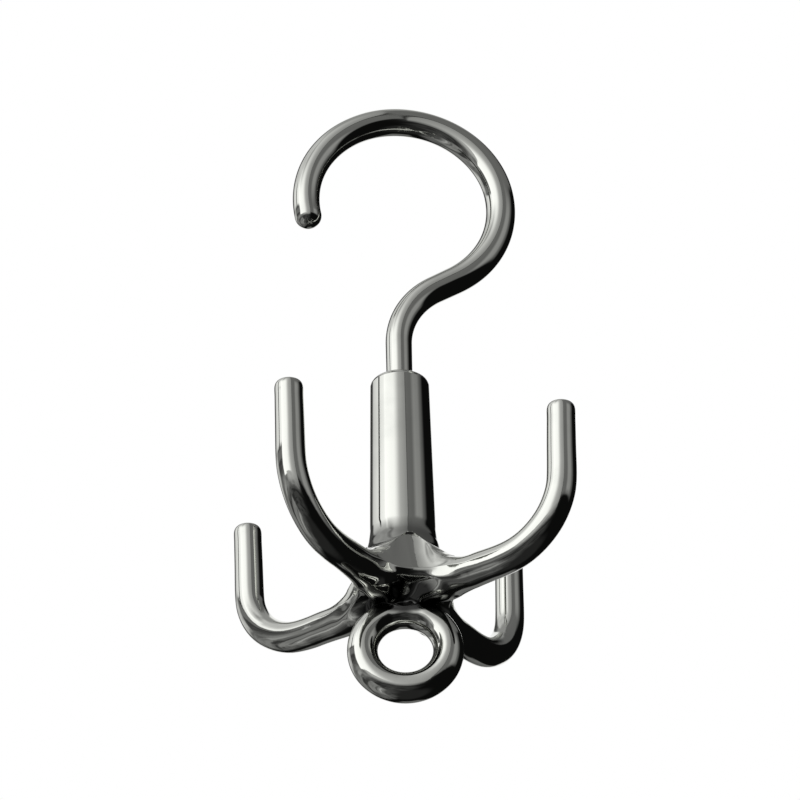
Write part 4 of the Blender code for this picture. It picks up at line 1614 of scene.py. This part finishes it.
@dataclass(frozen=True)
class Studio:
    """A pale floor, soft lamps, the tent of panels and the camera.

    Places are in metres, directions and streaks in degrees. The camera turns about the point of
    the swivel axis at the view's height.
    """

    centre: Vector
    floor_depth: float = 4.4
    view_azimuth: float = -10.6
    view_elevation: float = -33.4
    view_distance: float = 1.2466
    view_roll: float = 1.25
    view_height: float = -0.0800
    lens: float = 231.43
    air: float = 0.9
    air_strength: float = 0.55
    floor_reach: float = 90.0
    floor_paint: Colour = (0.86, 0.86, 0.85)
    floor_white: float = 0.8
    panel_grid: tuple[int, int] = (25, 49)
    streak_size: tuple[float, float] = (34.0, 7.0)
    streak_levels: tuple[float, float] = (0.40, 0.62)
    panels: tuple[Panel, ...] = (
        Panel("dark_shell", (-180, 180), (-90, 90), (0.004, 0.004), 3.6, (0, 0), (0, 0)),
        Panel("floor_bounce", (-180, 180), (-90, -45), (0.018, 0.018), 3.56, (0, 0), (0, 18)),
        Panel("floor_left", (-164, -20), (-80, -44), (0.12, 0.05), 3.53, (24, 40), (18, 12), 0.5),
        Panel("ceiling", (-180, 180), (50, 90), (0.3, 0.3), 3.5, (0, 0), (18, 0)),
        Panel("left_room", (-176, 26), (-64, 66), (0.15, 0.025), 3.47, (14, 34), (14, 12), 0.7),
        Panel("low_band", (-168, 16), (-26, 6), (0.24, 0.2), 3.44, (14, 24), (11, 8), 0.6),
        Panel("left_window", (-158, -112), (2, 32), (0.75, 0.45), 3.42, (10, 14), (8, 8), 0.3),
        Panel("left_ceiling", (-148, -50), (42, 80), (0.6, 0.62), 3.4, (16, 24), (10, 14), 0.15),
        Panel("left_wall", (-146, -66), (27, 58), (0.62, 1.16), 3.38, (12, 6), (3, 20)),
        Panel("dark_doorway", (-122, -76), (2, 27.5), (0.17, 0.17), 3.35, (10, 3), (9, 2)),
        Panel("doorway_core", (-120, -79), (5, 21), (0.035, 0.05), 3.34, (6, 4), (5, 4), 0.3),
        Panel("front_wall", (-64, 9.5), (-20, 84), (0.8, 0.28), 3.3, (24, 1.5), (18, 22)),
        Panel("softbox", (-78, -14), (-4.5, 60), (1.3, 1.05), 3.26, (6, 26), (1.6, 27)),
        Panel("softbox_foot", (-64, -12), (-16, -1), (0.46, 0.36), 3.24, (10, 26), (8, 1), 0.6),
        Panel("right_wall", (9.5, 88), (-4, 84), (0.15, 0.1), 3.3, (1, 16), (8, 8)),
        Panel("right_ceiling", (20, 124), (41, 84), (0.155, 0.12), 3.27, (12, 22), (4, 14)),
        Panel("right_glow", (28, 74), (-3, 46), (0.33, 0.24), 3.22, (16, 16), (12, 16)),
        Panel("wall_edge", (-104, -95.5), (26, 46), (0.02, 0.02), 3.22, (1.5, 1.5), (2, 6)),
        Panel("skirting", (-114, -78), (-15, -4), (0.38, 0.3), 3.22, (8, 10), (4, 3), 0.4),
        Panel("low_shade", (-134, -96), (-26, -16), (0.03, 0.04), 3.21, (10, 8), (3, 3), 0.2),
        Panel("low_patch", (-148, -66), (-59, -27), (0.24, 0.25), 3.2, (14, 12), (7, 3), 0.35),
        Panel("low_seam", (-130, -72), (-45.5, -41), (0.1, 0.12), 3.18, (10, 8), (1.5, 1.5)),
        Panel("low_light", (-130, -74), (-52, -47.5), (0.42, 0.38), 3.18, (12, 8), (1.5, 1.5), 0.3),
        Panel("low_crack", (-98, -73), (-27, -22), (0.06, 0.06), 3.18, (6, 6), (2, 2)),
        Panel("backdrop", (146, 192), (2, 74), (0.95, 0.95), 3.24, (9, 9), (8, 16)),
        Panel("rear_strip", (154, 177), (-36, 6), (0.16, 0.16), 3.2, (4, 5), (10, 6)),
        Panel("rear_window", (155, 178), (-19, 8), (0.16, 0.1), 3.18, (3, 5), (5, 5)),
    )

    def build(self) -> None:
        """Set up everything round the part."""
        scene = bpy.context.scene
        scene.view_settings.view_transform = "Standard"
        self.world()
        self.floor()
        self.lamps()
        self.tent()
        scene.camera = self.camera()

    def world(self) -> None:
        """White behind the part and in its gloss, and plain soft light on everything else."""
        world = bpy.data.worlds.new("studio_air")
        bpy.context.scene.world = world
        tree = ShaderTree(world)
        path = tree.node("LightPath")
        rays = ("Is Camera Ray", "Is Glossy Ray", "Is Transmission Ray")
        direct, glossy, through = (tree.signal(path, ray) for ray in rays)
        seen = tree.math("MAXIMUM", tree.math("MAXIMUM", direct, glossy), through)
        grey = (self.air, self.air, self.air, 1.0)
        light = tree.node("Background", None, {"Color": grey, "Strength": self.air_strength})
        white = tree.node("Background", None, {"Color": (1.0, 1.0, 1.0, 1.0), "Strength": 1.0})
        tree.mixed(seen, light, white, "OutputWorld")

    def floor(self) -> None:
        """A wide pale floor far below the hanging part."""
        mesh = bpy.data.meshes.new("studio_floor")
        corners = [(-1.0, -1.0), (1.0, -1.0), (1.0, 1.0), (-1.0, 1.0)]
        points = [(self.floor_reach * x, self.floor_reach * y, 0.0) for x, y in corners]
        mesh.from_pydata(points, [], [(0, 1, 2, 3)])
        floor = add_object("studio_floor", mesh)
        floor.location.z = -self.floor_depth
        material, tree = new_material("pale_floor")
        paint = tree.node("BsdfDiffuse", None, {"Color": (*self.floor_paint, 1.0)})
        white = tree.node("Emission", None, {"Color": (1.0, 1.0, 1.0, 1.0), "Strength": 1.0})
        camera_ray = tree.signal(tree.node("LightPath"), "Is Camera Ray")
        tree.mixed(camera_ray * self.floor_white, paint, white)
        mesh.materials.append(material)
        floor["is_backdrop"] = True

    def lamps(self) -> None:
        """Two large soft lamps, above on the left and low on the right."""
        spots = (
            ("key_softbox", (-1.6, -1.6, 1.3), 1.6, 26.0),
            ("fill_softbox", (1.8, -1.2, -0.6), 1.4, 12.0),
        )
        for name, place, size, power in spots:
            lamp = bpy.data.lights.new(name, "AREA")
            lamp.shape = "SQUARE"
            lamp.size = size
            lamp.energy = power
            item = add_object(name, lamp)
            item.location = self.centre + Vector(place)
            item.rotation_mode = "QUATERNION"
            item.rotation_quaternion = Vector(place).to_track_quat("Z", "Y")
            item.visible_glossy = False

    def tent(self) -> None:
        """Hang every panel, the far ones first."""
        for panel in self.panels:
            self.hang(panel)

    def hang(self, panel: Panel) -> None:
        """Make one panel: centre + distance (sin a cos e, -cos a cos e, sin e) over its spans.

        Args:
            panel: the panel to make.
        """
        rows, columns = self.panel_grid
        across = np.linspace(0.0, 1.0, columns)
        upward = np.linspace(0.0, 1.0, rows)
        azimuth = np.radians(np.interp(across, (0.0, 1.0), panel.azimuth))[None, :]
        elevation = np.radians(np.interp(upward, (0.0, 1.0), panel.elevation))[:, None]
        level = np.cos(elevation)
        rise = np.broadcast_to(np.sin(elevation), (rows, columns))
        grid = np.stack([np.sin(azimuth) * level, -np.cos(azimuth) * level, rise], axis=-1)
        points = grid.reshape(-1, 3) * panel.distance + np.array(self.centre)
        ids = np.arange(rows * columns).reshape(rows, columns)
        mesh = bpy.data.meshes.new(panel.name)
        faces = grid_faces(ids, around=False)
        mesh.from_pydata(points.tolist(), [], faces.tolist())
        layer = mesh.uv_layers.new(name="spread")
        u, v = np.meshgrid(across, upward)
        chart = np.stack([u, v], axis=-1).reshape(-1, 2)[faces.ravel()]
        layer.data.foreach_set("uv", chart.astype(np.float32).ravel())
        mesh.materials.append(self.panel_material(panel))
        item = add_object(panel.name, mesh)
        item.visible_camera = False
        item.visible_diffuse = False
        item.visible_transmission = False
        item.visible_shadow = False
        item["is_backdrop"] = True

    def panel_material(self, panel: Panel) -> bpy.types.Material:
        """A glow that runs from left to right and fades to clear at the panel's edges.

        Where a panel is streaked, a noise drawn out to the streaks' size in degrees clears it too.

        Args:
            panel: the panel to dress.

        Returns:
            The glowing material.
        """
        material, tree = new_material(panel.name + "_glow")
        chart = tree.node("UVMap", {"uv_map": "spread"}).outputs[0]
        across, upward, _ = tree.axes(chart)
        peak = max(*panel.glow, 1.0)
        left, right = ((glow / peak,) * 3 for glow in panel.glow)
        glow = tree.node("Emission", None, {"Color": tree.blend(across, left, right), "Strength": peak})
        width, height = (high - low for low, high in (panel.azimuth, panel.elevation))
        edges = [
            (across, panel.sides_fade[0] / width),
            (1.0 - across, panel.sides_fade[1] / width),
            (upward, panel.ends_fade[0] / height),
            (1.0 - upward, panel.ends_fade[1] / height),
        ]
        covers = [tree.remap(inwards, 0.0, fade) for inwards, fade in edges if fade > 0.0]
        if not covers:
            tree.surface(glow.outputs[0])
            return material
        cover = reduce(mul, covers)
        if panel.streaks > 0.0:
            scale = (width / self.streak_size[0], height / self.streak_size[1], 1.0)
            noise = tree.noise(tree.stretched(chart, scale), 1.0 / MM, 3.0, 0.6)
            cover = cover * (1.0 - panel.streaks * tree.remap(noise, *self.streak_levels))
        tree.mixed(cover, tree.node("BsdfTransparent"), glow)
        return material

    def camera(self) -> bpy.types.Object:
        """The photograph's view: from below, a little to the left, with a long lens.

        Returns:
            The camera.
        """
        azimuth = math.radians(self.view_azimuth)
        elevation = math.radians(self.view_elevation)
        level = math.cos(elevation)
        back = Vector((math.sin(azimuth) * level, -math.cos(azimuth) * level, math.sin(elevation)))
        right = Vector((math.cos(azimuth), math.sin(azimuth), 0.0))
        up = back.cross(right)
        roll = math.radians(self.view_roll)
        side = math.cos(roll) * right - math.sin(roll) * up
        over = math.sin(roll) * right + math.cos(roll) * up
        data = bpy.data.cameras.new("photo_camera")
        data.lens = self.lens
        data.sensor_width = 36.0
        data.clip_end = 200.0
        camera = add_object("photo_camera", data)
        frame = Matrix((side, over, back)).transposed().to_4x4()
        aim = Vector((0.0, 0.0, self.view_height))
        camera.matrix_world = Matrix.Translation(aim + self.view_distance * back) @ frame
        return camera


def main() -> None:
    """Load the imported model, dress it piece by piece and set up the studio."""
    logging.basicConfig(level=logging.INFO, format="%(message)s")
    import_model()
    cad_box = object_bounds()
    stack = SwivelStack.from_frame()
    pieces = [RailHook(stack).build(), ClawCasting(stack).build(), *SwivelFittings(stack).build()]
    for piece in pieces:
        LOG.info("%s is made of %d faces and dressed", piece.name, len(piece.data.polygons))
    Studio(centre=(cad_box[0] + cad_box[1]) / 2.0).build()


if __name__ == "__main__":
    main()
